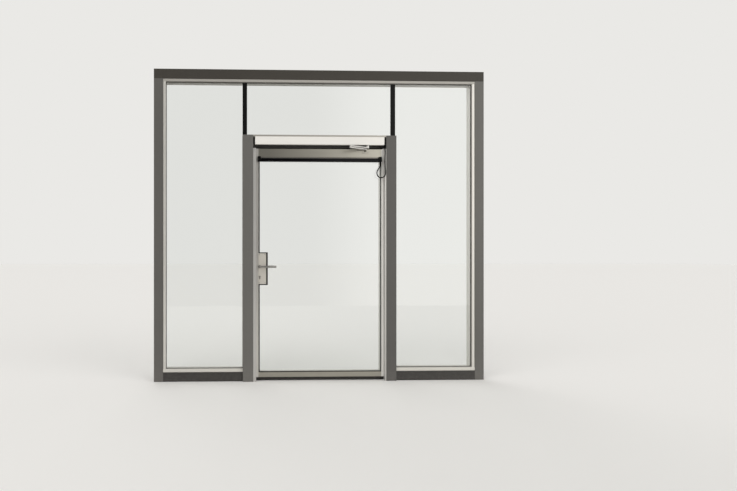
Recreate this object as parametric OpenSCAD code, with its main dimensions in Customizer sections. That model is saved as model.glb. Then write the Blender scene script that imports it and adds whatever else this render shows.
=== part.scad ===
// Glazed partition screen with a single-leaf automatic swing door.
// Millimetres. Z is up, Y runs from the room in front to the room behind.
// The origin is the centre of the hinge post's foot, on the floor and in the plane of the fixed glass.

/* [Screen] */
// Left wall to the outer face of the lock post
left_bay = 814; // [500:1:1500]
// Right wall to the outer face of the hinge post
right_bay = 828; // [500:1:1500]
// Floor to the top of the head
frame_h = 2866; // [2500:1:3500]
// Depth of head, jambs and sills
frame_d = 110; // [70:1:160]
// Front face of the frame ahead of the middle of the glass
frame_front = 24; // [18:1:40]
// Face width of the jambs
jamb_face = 84; // [50:1:120]
// Face height of the head
head_face = 88; // [50:1:120]
// Face height of the sills
sill_face = 80; // [50:1:120]
// Sealed joint between floor and sills
sill_joint = 5; // [2:1:15]
// Wall thickness of head, jambs and sills
frame_wall = 3; // [2:0.5:5]

/* [Fixed glazing] */
// Thickness of the fixed panes
glass_t = 14; // [8:1:20]
// Gap between pane edges and the members round them
glass_edge = 8; // [4:1:12]
// Thickness of the flat glazing gaskets
gasket_t = 2; // [1.5:0.5:4]
// How far the gasket shows beyond its bead
gasket_show = 6; // [2:1:10]
// Face width of the head and jamb beads
bead_face = 25; // [18:1:40]
// Face height of the sill beads
sill_bead_face = 33; // [18:1:50]
// Front beads behind the front face of the frame
bead_recess = 2; // [0.5:0.5:5]
// Wall thickness of the beads
bead_wall = 2; // [1.5:0.5:3]
// Width of the shadow groove between front bead and frame
shadow_w = 3; // [1:0.5:6]
// Depth of the shadow groove
shadow_d = 4; // [2:0.5:8]
// Width of the black joint strips above the posts
joint_w = 41; // [25:1:60]
// Thickness of the two plates of a joint strip
joint_plate = 3; // [2:0.5:5]
// Width of the web between the plates
joint_web = 8; // [4:1:12]
// Side clearance between a pane and that web
joint_clear = 3; // [1:0.5:4]

/* [Door frame] */
// Clear width between the posts
door_w = 1230; // [900:1:1500]
// Height of the posts
post_h = 2264; // [2050:1:2400]
// Face width of the posts
post_w = 95; // [70:1:130]
// Depth of the posts
post_d = 85; // [70:1:110]
// Wall thickness of the posts
post_wall = 4; // [3:0.5:6]
// Foot plate of a post
foot_t = 10; // [6:1:15]
// Diameter of the anchor holes in the foot plates
anchor_d = 13; // [9:1:18]
// Distance between the two anchor holes
anchor_pitch = 52; // [40:1:60]
// Thickness of the header between the posts
header_t = 16; // [12:1:30]
// Width of the stop on the lock post
lock_stop_w = 27; // [15:1:35]
// Width of the stop on the hinge post
hinge_stop_w = 12; // [12:1:35]
// Depth of the stops
stop_d = 25; // [15:1:30]
// Wall thickness of the stops
stop_wall = 2; // [1.5:0.5:3]
// Gap between the stops and the front of the leaf
stop_gap = 6; // [4:1:8]
// Clearance between the stop seals and the leaf
seal_clear = 0.5; // [0.3:0.1:1]
// Width of the stop seals
seal_w = 8; // [5:1:10]

/* [Leaf] */
// Gap between leaf edges and posts
leaf_gap = 5; // [4:0.5:8]
// Underside of the operator to the top of the leaf
leaf_drop = 36; // [34:1:50]
// Underside of the bottom rail above the floor
leaf_bottom = 35; // [20:1:50]
// Face width of the lock stile
lock_stile_w = 46; // [40:1:70]
// Face width of the hinge stile
hinge_stile_w = 30; // [28:1:70]
// Face height of the top rail
top_rail_h = 77; // [50:1:110]
// Face height of the bottom rail
bottom_rail_h = 45; // [40:1:110]
// Width of the glazing rebate behind the face flanges
rebate_w = 16; // [12:1:20]
// Wall thickness of the leaf profiles
leaf_wall = 2.5; // [2:0.5:4]
// Thickness of the face flanges
flange_t = 3; // [2:0.5:4]
// Thickness of the pane in the leaf
leaf_glass_t = 12; // [8:1:16]
// Gap between that pane and the profiles round it
leaf_glass_edge = 4; // [3:1:6]
// Thickness of the leaf gaskets
leaf_gasket_t = 4; // [2:0.5:5]
// Visible width of the dark gasket round the pane
leaf_gasket_show = 11; // [5:1:15]
// Floor clearance of the drop seal
seal_floor = 8; // [6:1:12]
// Thickness of the drop seal
drop_seal_t = 28; // [10:1:40]

/* [Hinges] */
// Radius of a knuckle
knuckle_r = 8; // [6:0.5:11]
// Radius of a hinge pin
pin_r = 5; // [4:0.5:6]
// Running clearance round pins
pin_clear = 0.1; // [0.05:0.05:0.3]
// Length of one knuckle
knuckle_l = 45; // [30:1:70]
// Gap between the knuckles of a pair
knuckle_gap = 1; // [0.5:0.5:2]
// Knuckle standing off the rear faces
knuckle_off = 1; // [0.5:0.5:3]
// Thickness of the hinge plates
plate_t = 3; // [2:0.5:4]
// Width of the hinge plates beyond the pin axis
plate_w = 34; // [20:1:38]
// Height of the lowest hinge
hinge_low = 250; // [150:1:400]
// Height of the middle hinge
hinge_mid = 1150; // [900:1:1300]
// Highest hinge below the top of the leaf
hinge_drop = 242; // [150:1:400]

/* [Lock and lever] */
// Width of the lock case beyond the stile
case_w = 65; // [50:1:90]
// Height of the lock case
case_h = 284; // [200:1:320]
// Underside of the lock case above the floor
case_z = 893; // [700:1:1000]
// How far the case stands proud of the leaf faces
case_proud = 1.5; // [0.5:0.5:4]
// Wall thickness of the case
case_wall = 3; // [2:0.5:5]
// Width of the dark surround beside the case
surround_w = 14; // [6:1:20]
// Height of the dark surround over and under the case
surround_h = 9; // [6:1:20]
// Leaf edge to the spindle of the lever
backset = 58; // [57:1:65]
// Height of the lever
lever_z = 1053; // [950:1:1100]
// Spindle to the tip of the lever
lever_len = 147; // [110:1:170]
// Diameter of the lever bar
lever_d = 20; // [14:1:24]
// Lever bar axis ahead of the leaf face
lever_off = 46; // [35:1:60]
// Centre-line radius of the lever's bend
lever_bend = 16; // [13:1:20]
// Height of the strike plate
strike_h = 200; // [120:1:260]
// Width of the strike plate
strike_w = 24; // [18:1:30]
// Thickness of the strike plate
strike_t = 2; // [1.5:0.5:3]
// Height of the hole for the latch
latch_h = 30; // [20:1:50]
// Width of the hole for the latch
latch_w = 12; // [8:1:16]
// Side of the square spindle that joins the levers
square_w = 8; // [7:1:10]

/* [Operator] */
// Height of the operator
op_h = 70; // [60:1:90]
// Gap between the ends of the cover and the posts
op_end_gap = 20; // [10:1:40]
// Cover standing ahead of the posts
cover_proud = 3; // [0:1:20]
// Wall thickness of cover and chassis
cover_t = 2.5; // [1.5:0.5:4]
// Depth of the cover behind the front of the posts
cover_d = 27; // [20:1:34]
// Width of the bearing tongue
tongue_w = 90; // [60:1:140]
// Length of the spindle bearing
bearing_l = 35; // [20:1:45]
// Wall of the spindle bearing
bearing_wall = 5; // [3:0.5:8]
// Free height between the drive arm and the back of the chassis
lip_clear = 5; // [5:0.5:10]
// Hinge axis to the drive spindle, along the screen
spindle_x = 165; // [120:1:220]
// Drive spindle ahead of the front face of the leaf
spindle_off = 16; // [15:0.5:25]
// Radius of the drive spindle
spindle_r = 7; // [6:0.5:8]
// Radius of the hub on the drive arm
hub_r = 12; // [10:0.5:14]
// Clearance round the hub in the cover
hub_clear = 2; // [1:0.5:4]
// Length of the drive arm between its pivots
arm_l = 198; // [188:1:215]
// Angle of the drive arm to the closed leaf
arm_angle = 23; // [22:0.5:25]
// Width of the arms
arm_w = 18; // [14:1:22]
// Thickness of the arms
arm_t = 8; // [5:1:10]
// Underside of the operator to the top of the drive arm
arm_drop = 22; // [12:1:30]
// Free height between arm, link and shoe
arm_clear = 6; // [5:1:8]
// Radius of the pivot pins of the link
link_pin_r = 4; // [3:0.5:5]
// Thickness of the shoe
shoe_t = 8; // [5:1:10]
// Length of the shoe's plate along the rail
shoe_l = 60; // [60:1:120]
// Height of that plate below the shoe
shoe_h = 16; // [15:1:35]
// Thickness of that plate
shoe_plate = 4; // [3:0.5:6]

/* [Sensor bar and cable] */
// Height of the sensor bar
bar_h = 31; // [25:1:45]
// Depth of the sensor bar
bar_d = 28; // [20:1:40]
// Sensor bar below the gasket of the top rail
bar_drop = 2; // [0:1:20]
// How far the bar laps the lock stile
bar_lap = 6; // [4:1:15]
// How far the bar ends short of the opening in the leaf on the hinge side
bar_short = 4; // [0:1:10]
// Length of each end cap of the bar
bar_cap = 24; // [18:1:40]
// How far the end caps rise above the bar
cap_rise = 16; // [0:1:20]
// Height of the strip that carries the bar, above the bar
bar_strip_h = 9; // [2:1:12]
// Thickness of that strip
bar_strip_t = 4; // [2:0.5:6]
// Radius of the cable
cable_r = 4.5; // [3:0.5:6]
// Radius of the cable glands
gland_r = 7.5; // [7:0.5:9]
// Length of the cable glands
gland_l = 10; // [6:1:16]
// How far the cable loop hangs below the sensor bar
cable_hang = 151; // [120:1:200]
// Width of the cable loop
cable_loop_w = 71; // [60:1:90]
// Clearance between cable and stop
cable_clear = 3; // [2:0.5:6]

/* [Hidden] */
$fn = 48;
// Small overlap that makes a cut run clean through a face
cut = 1;

// Planes across the depth
glass_y = glass_t / 2;
bead_seat = glass_y + gasket_t;
front_y = -frame_front;
rear_y = frame_d - frame_front;
post_y = post_d / 2;
leaf_front = -post_y + stop_d + stop_gap;
leaf_t = post_y - leaf_front;
pane_front = leaf_front + flange_t + leaf_gasket_t;
pane_rear = pane_front + leaf_glass_t;

// Places along the screen
hinge_in = -post_w / 2;
lock_in = hinge_in - door_w;
lock_out = lock_in - post_w;
hinge_out = post_w / 2;
x_left = lock_out - left_bay;
x_right = hinge_out + right_bay;
lock_x = (lock_in + lock_out) / 2;

// Heights
sill_top = sill_joint + sill_face;
head_z = frame_h - head_face;
header_z = post_h - header_t;
op_z = header_z - op_h;
leaf_top = op_z - leaf_drop;

// Glazing channel in the outer side of each post
channel_d = 18;
channel_w = glass_t + 2 * gasket_t;
pane_in_post = joint_w / 2 - joint_web / 2 - joint_clear;
pane_past_joint = joint_w / 2 + joint_web / 2 + joint_clear;

// Leaf outline
leaf_x0 = lock_in + leaf_gap;
leaf_x1 = hinge_in - leaf_gap;
lock_tube = lock_stile_w - rebate_w;
hinge_tube = hinge_stile_w - rebate_w;
top_tube = top_rail_h - rebate_w;
bottom_tube = bottom_rail_h - rebate_w;
pane_x0 = leaf_x0 + lock_tube + leaf_glass_edge;
pane_x1 = leaf_x1 - hinge_tube - leaf_glass_edge;
sight_x0 = leaf_x0 + lock_stile_w;
sight_x1 = leaf_x1 - hinge_stile_w;
sight_z0 = leaf_bottom + bottom_rail_h;
sight_z1 = leaf_top - top_rail_h;

// Hinge axis
axis_x = hinge_in - leaf_gap / 2;
axis_y = post_y + knuckle_off + knuckle_r;
hinge_zs = [hinge_low, hinge_mid, leaf_top - hinge_drop];

// Lock
case_x1 = sight_x0 + case_w;
case_front = leaf_front - case_proud;
case_rear = post_y + case_proud;
lever_x = leaf_x0 + backset;
strike_y = (leaf_front + post_y) / 2;
// Clearance round the necks of the levers, and how far the leaf gasket reaches under the face flanges
neck_clear = 0.5;
gasket_lap = 8;

// Operator linkage, a parallelogram of hinge axis, spindle, elbow and shoe pin
spindle = [axis_x - spindle_x, leaf_front - spindle_off];
arm_v = [-arm_l * cos(arm_angle), -arm_l * sin(arm_angle)];
elbow = spindle + arm_v;
shoe_pin = [axis_x, axis_y] + arm_v;
arm_z = op_z - arm_drop - arm_t;
link_z = arm_z - arm_clear - arm_t;
shoe_z = link_z - arm_clear - shoe_t;
pin_head = 2;
cover_x0 = lock_in + op_end_gap;
cover_x1 = hinge_in - op_end_gap;
cover_front = -post_y - cover_proud;
chassis_y = -post_y + cover_d;
chassis_lip = arm_z + arm_t + lip_clear;
bearing_r = spindle_r + pin_clear + bearing_wall;

// Sensor bar
bar_z1 = sight_z1 - leaf_gasket_show - bar_drop;
bar_z0 = bar_z1 - bar_h;
bar_x0 = sight_x0 - bar_lap;
bar_x1 = sight_x1 - bar_short;
bar_front = leaf_front - bar_d;
// Rounding of the bar, and how far the caps stand ahead of it
bar_r = 5;
cap_lip = 1;
bar_gland = [bar_x1 - bar_cap / 2, (leaf_front + bar_front) / 2];
header_gland = [hinge_in - op_end_gap / 2, -post_y + gland_r + 1];

// Loop of the door cable, as shares of its width, of the way back to the bar and of its hang
cable_loop = [
    [0, 0, -0.06],
    [0, 0, 0.35],
    [0, 0.05, 0.765],
    [0.146, 0.2, 0.931],
    [0.5, 0.4, 1],
    [0.854, 0.6, 0.931],
    [1, 0.78, 0.765],
    [0.93, 0.93, 0.5]
];

// Route from the header's gland to the gland under the end cap of the sensor bar
cable_x = header_gland[0] - cable_r / 2;
cable_y = -post_y - cable_r - cable_clear;
cable_fall = header_z - gland_l - bar_z0;
cable_route = [
    for (k = [0:2])
        [header_gland[0], header_gland[1], header_z - gland_l - k * 2 * cable_r],
    [header_gland[0] - 0.5, (header_gland[1] + cable_y) / 2, header_z - gland_l - cable_fall * 0.3],
    [cable_x + 1, cable_y + 1, header_z - gland_l - cable_fall / 2],
    for (p = cable_loop) [
        cable_x - cable_loop_w * p[0],
        cable_y + (bar_gland[1] - cable_y) * p[1],
        bar_z0 - cable_hang * p[2]
    ],
    for (k = [2:-1:0])
        [bar_gland[0], bar_gland[1], bar_z0 - gland_l - k * 2 * cable_r]
];
cable_steps = 4;
cable_sides = 10;

// Box between two opposite corners
module block(a, b) {
    translate(a)
        cube(b - a);
}

// Square tube between two corners, open at both ends along the named axis
module tube(a, b, wall, along) {
    open = along == "x" ? [1, 0, 0] : [0, 0, 1];
    inset = [wall, wall, wall];
    difference() {
        block(a, b);
        block(
            [for (i = [0:2]) open[i] ? a[i] - cut : a[i] + inset[i]],
            [for (i = [0:2]) open[i] ? b[i] + cut : b[i] - inset[i]]
        );
    }
}

// Flat rectangular ring in the plane of the glass, from y0 to y1
module ring(x0, x1, z0, z1, w_left, w_right, w_low, w_top, y0, y1) {
    difference() {
        block([x0, y0, z0], [x1, y1, z1]);
        block([x0 + w_left, y0 - cut, z0 + w_low], [x1 - w_right, y1 + cut, z1 - w_top]);
    }
}

// Section of a glazing bead: x is its depth away from the glass, y its face away from the frame
module bead_section(depth, face, groove) {
    difference() {
        square([depth, face]);
        translate([bead_wall, bead_wall])
            square([depth - 2 * bead_wall - (groove ? shadow_d : 0), face - 2 * bead_wall]);
        if (groove)
            translate([depth - shadow_d, -cut])
                square([shadow_d + cut, shadow_w + cut]);
    }
}

// Horizontal bead; up is 1 on a sill and -1 under the head, side is -1 in front and 1 behind
module bead_x(x0, x1, z, up, side, face) {
    depth = side < 0 ? frame_front - bead_recess - bead_seat : rear_y - bead_seat;
    translate([x0, side * bead_seat, z])
        mirror([0, side < 0 ? 1 : 0, 0])
            mirror([0, 0, up < 0 ? 1 : 0])
                rotate([90, 0, 90])
                    linear_extrude(x1 - x0)
                        bead_section(depth, face, side < 0);
}

// Vertical bead; out is 1 beside the left jamb and -1 beside the right one
module bead_z(x, out, z0, z1, side) {
    depth = side < 0 ? frame_front - bead_recess - bead_seat : rear_y - bead_seat;
    translate([x, side * bead_seat, z0])
        mirror([0, side < 0 ? 1 : 0, 0])
            mirror([out < 0 ? 1 : 0, 0, 0])
                linear_extrude(z1 - z0)
                    mirror([1, -1, 0])
                        bead_section(depth, bead_face, side < 0);
}

// Outer frame; the head is closed by an end plate at each wall
module head_frame() {
    wall = [frame_wall, frame_wall, frame_wall];
    color("#4a4744")
        difference() {
            block([x_left, front_y, head_z], [x_right, rear_y, frame_h]);
            block(
                [x_left, front_y, head_z] + wall,
                [x_right, rear_y, frame_h] - wall
            );
        }
}

module jamb(x0) {
    color("#5d5a56")
        tube([x0, front_y, 0], [x0 + jamb_face, rear_y, head_z], frame_wall, "z");
}

module left_jamb() {
    jamb(x_left);
}

module right_jamb() {
    jamb(x_right - jamb_face);
}

module sill(x0, x1) {
    color("#45423f")
        tube([x0, front_y, sill_joint], [x1, rear_y, sill_top], frame_wall, "x");
}

module left_sill() {
    sill(x_left + jamb_face, lock_out);
}

module right_sill() {
    sill(hinge_out, x_right - jamb_face);
}

// Beads in front of and behind the fixed glass
module head_bead() {
    color("#b8b0a6")
        bead_x(x_left + jamb_face, x_right - jamb_face, head_z, -1, -1, bead_face);
}

module jamb_bead_pair(side) {
    z0 = sill_top + sill_bead_face;
    z1 = head_z - bead_face;
    bead_z(x_left + jamb_face, 1, z0, z1, side);
    bead_z(x_right - jamb_face, -1, z0, z1, side);
}

module sill_bead_pair(side) {
    bead_x(x_left + jamb_face, lock_out, sill_top, 1, side, sill_bead_face);
    bead_x(hinge_out, x_right - jamb_face, sill_top, 1, side, sill_bead_face);
}

module jamb_beads() {
    color("#b8b0a6")
        jamb_bead_pair(-1);
}

module sill_beads() {
    color("#b8b0a6")
        sill_bead_pair(-1);
}

module rear_head_bead() {
    color("#8d8780")
        bead_x(x_left + jamb_face, x_right - jamb_face, head_z, -1, 1, bead_face);
}

module rear_jamb_beads() {
    color("#8d8780")
        jamb_bead_pair(1);
}

module rear_sill_beads() {
    color("#8d8780")
        sill_bead_pair(1);
}

// Flat gasket along head, jambs and sills and in the post channels, from y0 to y1
module screen_gasket(y0, y1) {
    inner = bead_face + gasket_show;
    low = sill_bead_face + gasket_show;
    color("#1c1c1c") {
        difference() {
            block([x_left + jamb_face, y0, sill_top], [x_right - jamb_face, y1, head_z]);
            block(
                [x_left + jamb_face + inner, y0 - cut, sill_top + low],
                [x_right - jamb_face - inner, y1 + cut, head_z - inner]
            );
            block([lock_out, y0 - cut, sill_top - cut], [hinge_out, y1 + cut, sill_top + low + cut]);
        }
        block([lock_out - cut, y0, sill_top], [lock_out + pane_in_post, y1, post_h]);
        block([hinge_out - pane_in_post, y0, sill_top], [hinge_out + cut, y1, post_h]);
    }
}

module front_gasket() {
    screen_gasket(-bead_seat, -glass_y);
}

module rear_gasket() {
    screen_gasket(glass_y, bead_seat);
}

// Fixed panes
module pane(x0, x1, z0) {
    color("#a9c4bd", 0.35)
        block([x0, -glass_y, z0], [x1, glass_y, head_z - glass_edge]);
}

module left_sidelight_glass() {
    pane(x_left + jamb_face + glass_edge, lock_out + pane_in_post, sill_top + glass_edge);
}

module right_sidelight_glass() {
    pane(hinge_out - pane_in_post, x_right - jamb_face - glass_edge, sill_top + glass_edge);
}

module overpanel_glass() {
    pane(lock_out + pane_past_joint, hinge_out - pane_past_joint, post_h);
}

// Black joint strip between two panes, an H section that stands on a post
module glass_joint(x0) {
    top = head_z - bead_face - gasket_show;
    mid = x0 + joint_w / 2;
    color("#111111")
        translate([0, 0, post_h])
            linear_extrude(top - post_h)
                union() {
                    translate([x0, -glass_y - joint_plate])
                        square([joint_w, joint_plate]);
                    translate([x0, glass_y])
                        square([joint_w, joint_plate]);
                    translate([mid - joint_web / 2, -glass_y - joint_plate])
                        square([joint_web, glass_t + 2 * joint_plate]);
                }
}

module left_glass_joint() {
    glass_joint(lock_out);
}

module right_glass_joint() {
    glass_joint(hinge_out - joint_w);
}

// Post section with the glazing channel on its right side
module post_section() {
    difference() {
        square([post_w, post_d], center = true);
        difference() {
            square([post_w - 2 * post_wall, post_d - 2 * post_wall], center = true);
            translate([post_w / 2 - channel_d - post_wall, -channel_w / 2 - post_wall])
                square([channel_d + post_wall, channel_w + 2 * post_wall]);
        }
        post_channel();
    }
}

module post_channel() {
    translate([post_w / 2 - channel_d, -channel_w / 2])
        square([channel_d + cut, channel_w]);
}

// Post on its foot plate, closed by a plate at the top
module post() {
    color("#6a6763")
        difference() {
            union() {
                linear_extrude(post_h)
                    post_section();
                for (z = [0, post_h - post_wall])
                    translate([0, 0, z])
                        linear_extrude(z > 0 ? post_wall : foot_t)
                            difference() {
                                square([post_w, post_d], center = true);
                                post_channel();
                            }
            }
            for (x = [-1, 1])
                translate([x * anchor_pitch / 2 - channel_d / 2, 0, -cut])
                    cylinder(d = anchor_d, h = foot_t + 2 * cut);
        }
}

module hinge_post() {
    post();
}

module lock_post() {
    difference() {
        translate([lock_x, 0, 0])
            mirror([1, 0, 0])
                post();
        strike_body(cut);
        latch_hole();
    }
}

// Header that closes the door frame under the overpanel
module door_header() {
    color("#77736e")
        tube([lock_in, -post_y, header_z], [hinge_in, post_y, post_h], frame_wall, "x");
}

// Stop strips on the room side of the leaf, up to its top
module stop_strip(x0, x1) {
    color("#6a6763")
        tube([x0, -post_y, 0], [x1, -post_y + stop_d, leaf_top], stop_wall, "z");
}

module lock_stop() {
    stop_strip(lock_in, lock_in + lock_stop_w);
}

module hinge_stop() {
    stop_strip(hinge_in - hinge_stop_w, hinge_in);
}

// Rubber seals on the stops
module stop_seals() {
    color("#151515")
        for (x = [lock_in + lock_stop_w - seal_w, hinge_in - hinge_stop_w])
            block([x, -post_y + stop_d, 0], [x + seal_w, leaf_front - seal_clear, leaf_top]);
}

// Strike plate let into the lock post
module strike_body(extra) {
    block(
        [lock_in - strike_t, strike_y - strike_w / 2, lever_z - strike_h / 2],
        [lock_in + extra, strike_y + strike_w / 2, lever_z + strike_h / 2]
    );
}

module latch_hole() {
    block(
        [lock_in - post_wall - cut, strike_y - latch_w / 2, lever_z - latch_h / 2],
        [lock_in + cut, strike_y + latch_w / 2, lever_z + latch_h / 2]
    );
}

module strike_plate() {
    color("#c9c5be")
        difference() {
            strike_body(0);
            latch_hole();
        }
}

// Knuckle pair; side is 1 for the half on the post and -1 for the half on the leaf
module hinge_half(z, side) {
    z0 = side > 0 ? z + knuckle_gap / 2 : z - knuckle_gap / 2 - knuckle_l;
    plate_x = axis_x + side * (leaf_gap / 2 + plate_w);
    near_x = axis_x + side * leaf_gap / 2;
    translate([axis_x, axis_y, z0])
        cylinder(r = knuckle_r, h = knuckle_l);
    block(
        [min(plate_x, near_x), post_y, z0],
        [max(plate_x, near_x), post_y + plate_t, z0 + knuckle_l]
    );
    block(
        [min(near_x, axis_x), post_y + knuckle_off, z0],
        [max(near_x, axis_x) + (side > 0 ? plate_t : 0), axis_y, z0 + knuckle_l]
    );
}

module frame_hinges() {
    color("#8b8782")
        for (z = hinge_zs) {
            hinge_half(z, 1);
            translate([axis_x, axis_y, z - knuckle_gap / 2 - knuckle_l])
                cylinder(r = pin_r, h = knuckle_l + knuckle_gap + cut);
        }
}

module leaf_hinges() {
    color("#8b8782")
        for (z = hinge_zs)
            difference() {
                hinge_half(z, -1);
                translate([axis_x, axis_y, z - knuckle_gap / 2 - knuckle_l - cut])
                    cylinder(r = pin_r + pin_clear, h = knuckle_l + 2 * cut);
            }
}

// Operator chassis, a channel hung under the header; its back drops behind the arms and
// a tongue at the bottom carries the bearing of the spindle
module operator_chassis() {
    color("#2b2b2b")
        difference() {
            union() {
                block([lock_in, post_y - cover_t, chassis_lip], [hinge_in, post_y, header_z]);
                block([lock_in, chassis_y, header_z - cover_t], [hinge_in, post_y, header_z]);
                block([lock_in, chassis_y, op_z], [hinge_in, post_y, op_z + cover_t]);
                block(
                    [spindle[0] - tongue_w / 2, spindle[1] - bearing_r, op_z],
                    [spindle[0] + tongue_w / 2, chassis_y + cut, op_z + cover_t]
                );
                translate([spindle[0], spindle[1], op_z])
                    cylinder(r = bearing_r, h = bearing_l);
            }
            translate([spindle[0], spindle[1], op_z - cut])
                cylinder(r = spindle_r + pin_clear, h = bearing_l + 2 * cut);
        }
}

// White cover, a channel closed at both ends over the front of the operator
module operator_cover() {
    color("#e6e2dc")
        difference() {
            block([cover_x0, cover_front, op_z - cover_t], [cover_x1, chassis_y, header_z]);
            block(
                [cover_x0 + cover_t, cover_front + cover_t, op_z],
                [cover_x1 - cover_t, chassis_y + cut, header_z - cover_t]
            );
            translate([spindle[0], spindle[1], op_z - 2 * cover_t])
                cylinder(r = hub_r + hub_clear, h = 3 * cover_t);
        }
}

// Gland under the right end of the header
module cable_gland() {
    color("#1a1a1a")
        translate([header_gland[0], header_gland[1], header_z - gland_l])
            cylinder(r = gland_r, h = gland_l);
}

// Flat arm with round ends between two points of the plan
module flat_arm(a, b, z, t) {
    v = b - a;
    translate([a[0], a[1], z])
        rotate([0, 0, atan2(v[1], v[0])])
            linear_extrude(t)
                union() {
                    translate([0, -arm_w / 2])
                        square([norm(v), arm_w]);
                    circle(d = arm_w);
                    translate([norm(v), 0])
                        circle(d = arm_w);
                }
}

// Drive arm with its hub and spindle, and the elbow pin through its free end
module drive_arm() {
    color("#c4c0ba") {
        flat_arm(spindle, elbow, arm_z, arm_t);
        translate([spindle[0], spindle[1], arm_z - pin_head])
            cylinder(r = hub_r, h = op_z - arm_z);
        translate([spindle[0], spindle[1], arm_z])
            cylinder(r = spindle_r, h = op_z + bearing_l - arm_z);
        translate([elbow[0], elbow[1], link_z - pin_head])
            cylinder(r = link_pin_r, h = arm_z + arm_t - link_z + 2 * pin_head);
    }
}

// Link from the elbow to the shoe
module link_arm() {
    color("#c4c0ba")
        difference() {
            flat_arm(elbow, shoe_pin, link_z, arm_t);
            for (p = [elbow, shoe_pin])
                translate([p[0], p[1], link_z - cut])
                    cylinder(r = link_pin_r + pin_clear, h = arm_t + 2 * cut);
        }
}

// Shoe on the face of the leaf, with the pin that carries the link
module arm_shoe() {
    color("#c4c0ba") {
        block(
            [shoe_pin[0] - shoe_l / 2, leaf_front - shoe_plate, shoe_z - shoe_h],
            [shoe_pin[0] + shoe_l / 2, leaf_front, shoe_z + shoe_t]
        );
        block(
            [shoe_pin[0] - arm_w / 2, shoe_pin[1], shoe_z],
            [shoe_pin[0] + arm_w / 2, leaf_front, shoe_z + shoe_t]
        );
        translate([shoe_pin[0], shoe_pin[1], shoe_z])
            cylinder(d = arm_w, h = shoe_t);
        translate([shoe_pin[0], shoe_pin[1], shoe_z])
            cylinder(r = link_pin_r, h = link_z + arm_t + pin_head - shoe_z);
    }
}

// Section of a leaf profile: a tube with a face flange over the glass, the leaf edge at x = 0
module leaf_section(face) {
    body = face - rebate_w;
    difference() {
        union() {
            translate([0, leaf_front])
                square([body, leaf_t]);
            translate([0, leaf_front])
                square([face, flange_t]);
        }
        translate([leaf_wall, leaf_front + flange_t])
            square([body - 2 * leaf_wall, leaf_t - flange_t - leaf_wall]);
    }
}

module lock_stile() {
    color("#9b968f")
        difference() {
            translate([leaf_x0, 0, leaf_bottom])
                linear_extrude(leaf_top - leaf_bottom)
                    leaf_section(lock_stile_w);
            lever_bores();
        }
}

module hinge_stile() {
    color("#b0aba4")
        translate([leaf_x1, 0, leaf_bottom])
            mirror([1, 0, 0])
                linear_extrude(leaf_top - leaf_bottom)
                    leaf_section(hinge_stile_w);
}

// Rail between the stiles; up is 1 for the bottom rail and -1 for the top rail
module rail(z, up, face) {
    difference() {
        translate([leaf_x0 + lock_tube, 0, z])
            mirror([0, 0, up < 0 ? 1 : 0])
                rotate([90, 0, 90])
                    linear_extrude(leaf_x1 - hinge_tube - leaf_x0 - lock_tube)
                        mirror([1, -1, 0])
                            leaf_section(face);
        for (x = [leaf_x0 - cut, sight_x1])
            block(
                [x, leaf_front - cut, leaf_bottom - cut],
                [x + lock_stile_w + cut, leaf_front + flange_t, leaf_top + cut]
            );
    }
}

module top_rail() {
    color("#a39e97")
        rail(leaf_top, -1, top_rail_h);
}

module bottom_rail() {
    color("#8d8882")
        rail(leaf_bottom, 1, bottom_rail_h);
}

// Opening in the leaf pane and its trims round the lock case
module case_room(grow_x, grow_z, y0, y1) {
    block(
        [leaf_x0 + lock_tube, y0, case_z - grow_z],
        [case_x1 + grow_x, y1, case_z + case_h + grow_z]
    );
}

module leaf_glass() {
    color("#a9c4bd", 0.35)
        difference() {
            block(
                [pane_x0, pane_front, leaf_bottom + bottom_tube + leaf_glass_edge],
                [pane_x1, pane_rear, leaf_top - top_tube - leaf_glass_edge]
            );
            case_room(leaf_glass_edge, leaf_glass_edge, pane_front - cut, pane_rear + cut);
        }
}

// Dark gasket between the face flanges and the pane, and round the lock case
module leaf_gasket() {
    y0 = leaf_front + flange_t;
    ring_w = gasket_lap + leaf_gasket_show;
    color("#2a2a2a")
        difference() {
            union() {
                ring(
                    sight_x0 - gasket_lap, sight_x1 + gasket_lap,
                    sight_z0 - gasket_lap, sight_z1 + gasket_lap,
                    ring_w, ring_w, ring_w, ring_w,
                    y0, pane_front
                );
                case_room(surround_w, surround_h, y0, pane_front);
            }
            case_room(0, 0, y0 - cut, pane_front + cut);
            block(
                [leaf_x0, y0 - cut, case_z - 2 * surround_h],
                [sight_x0 - gasket_lap, pane_front + cut, case_z + case_h + 2 * surround_h]
            );
        }
}

// Ring in the rebate behind the pane, as wide as w
module rebate_ring(w, y0, y1) {
    ring(
        leaf_x0 + lock_tube, leaf_x1 - hinge_tube,
        leaf_bottom + bottom_tube, leaf_top - top_tube,
        w, w, w, w,
        y0, y1
    );
}

// Bead behind the pane, a channel open to the profiles, carried round the lock case
module leaf_rear_bead() {
    show = rebate_w + leaf_gasket_show;
    color("#8d8882")
        difference() {
            union() {
                difference() {
                    rebate_ring(show, pane_rear, post_y);
                    rebate_ring(show - bead_wall, pane_rear + bead_wall, post_y - bead_wall);
                }
                case_room(surround_w, surround_h, pane_rear, post_y);
            }
            case_room(0, 0, pane_rear - cut, post_y + cut);
        }
}

module drop_seal() {
    mid = (leaf_front + post_y) / 2;
    color("#1c1c1c")
        block(
            [leaf_x0 + leaf_gap, mid - drop_seal_t / 2, seal_floor],
            [leaf_x1 - leaf_gap, mid + drop_seal_t / 2, leaf_bottom]
        );
}

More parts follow.
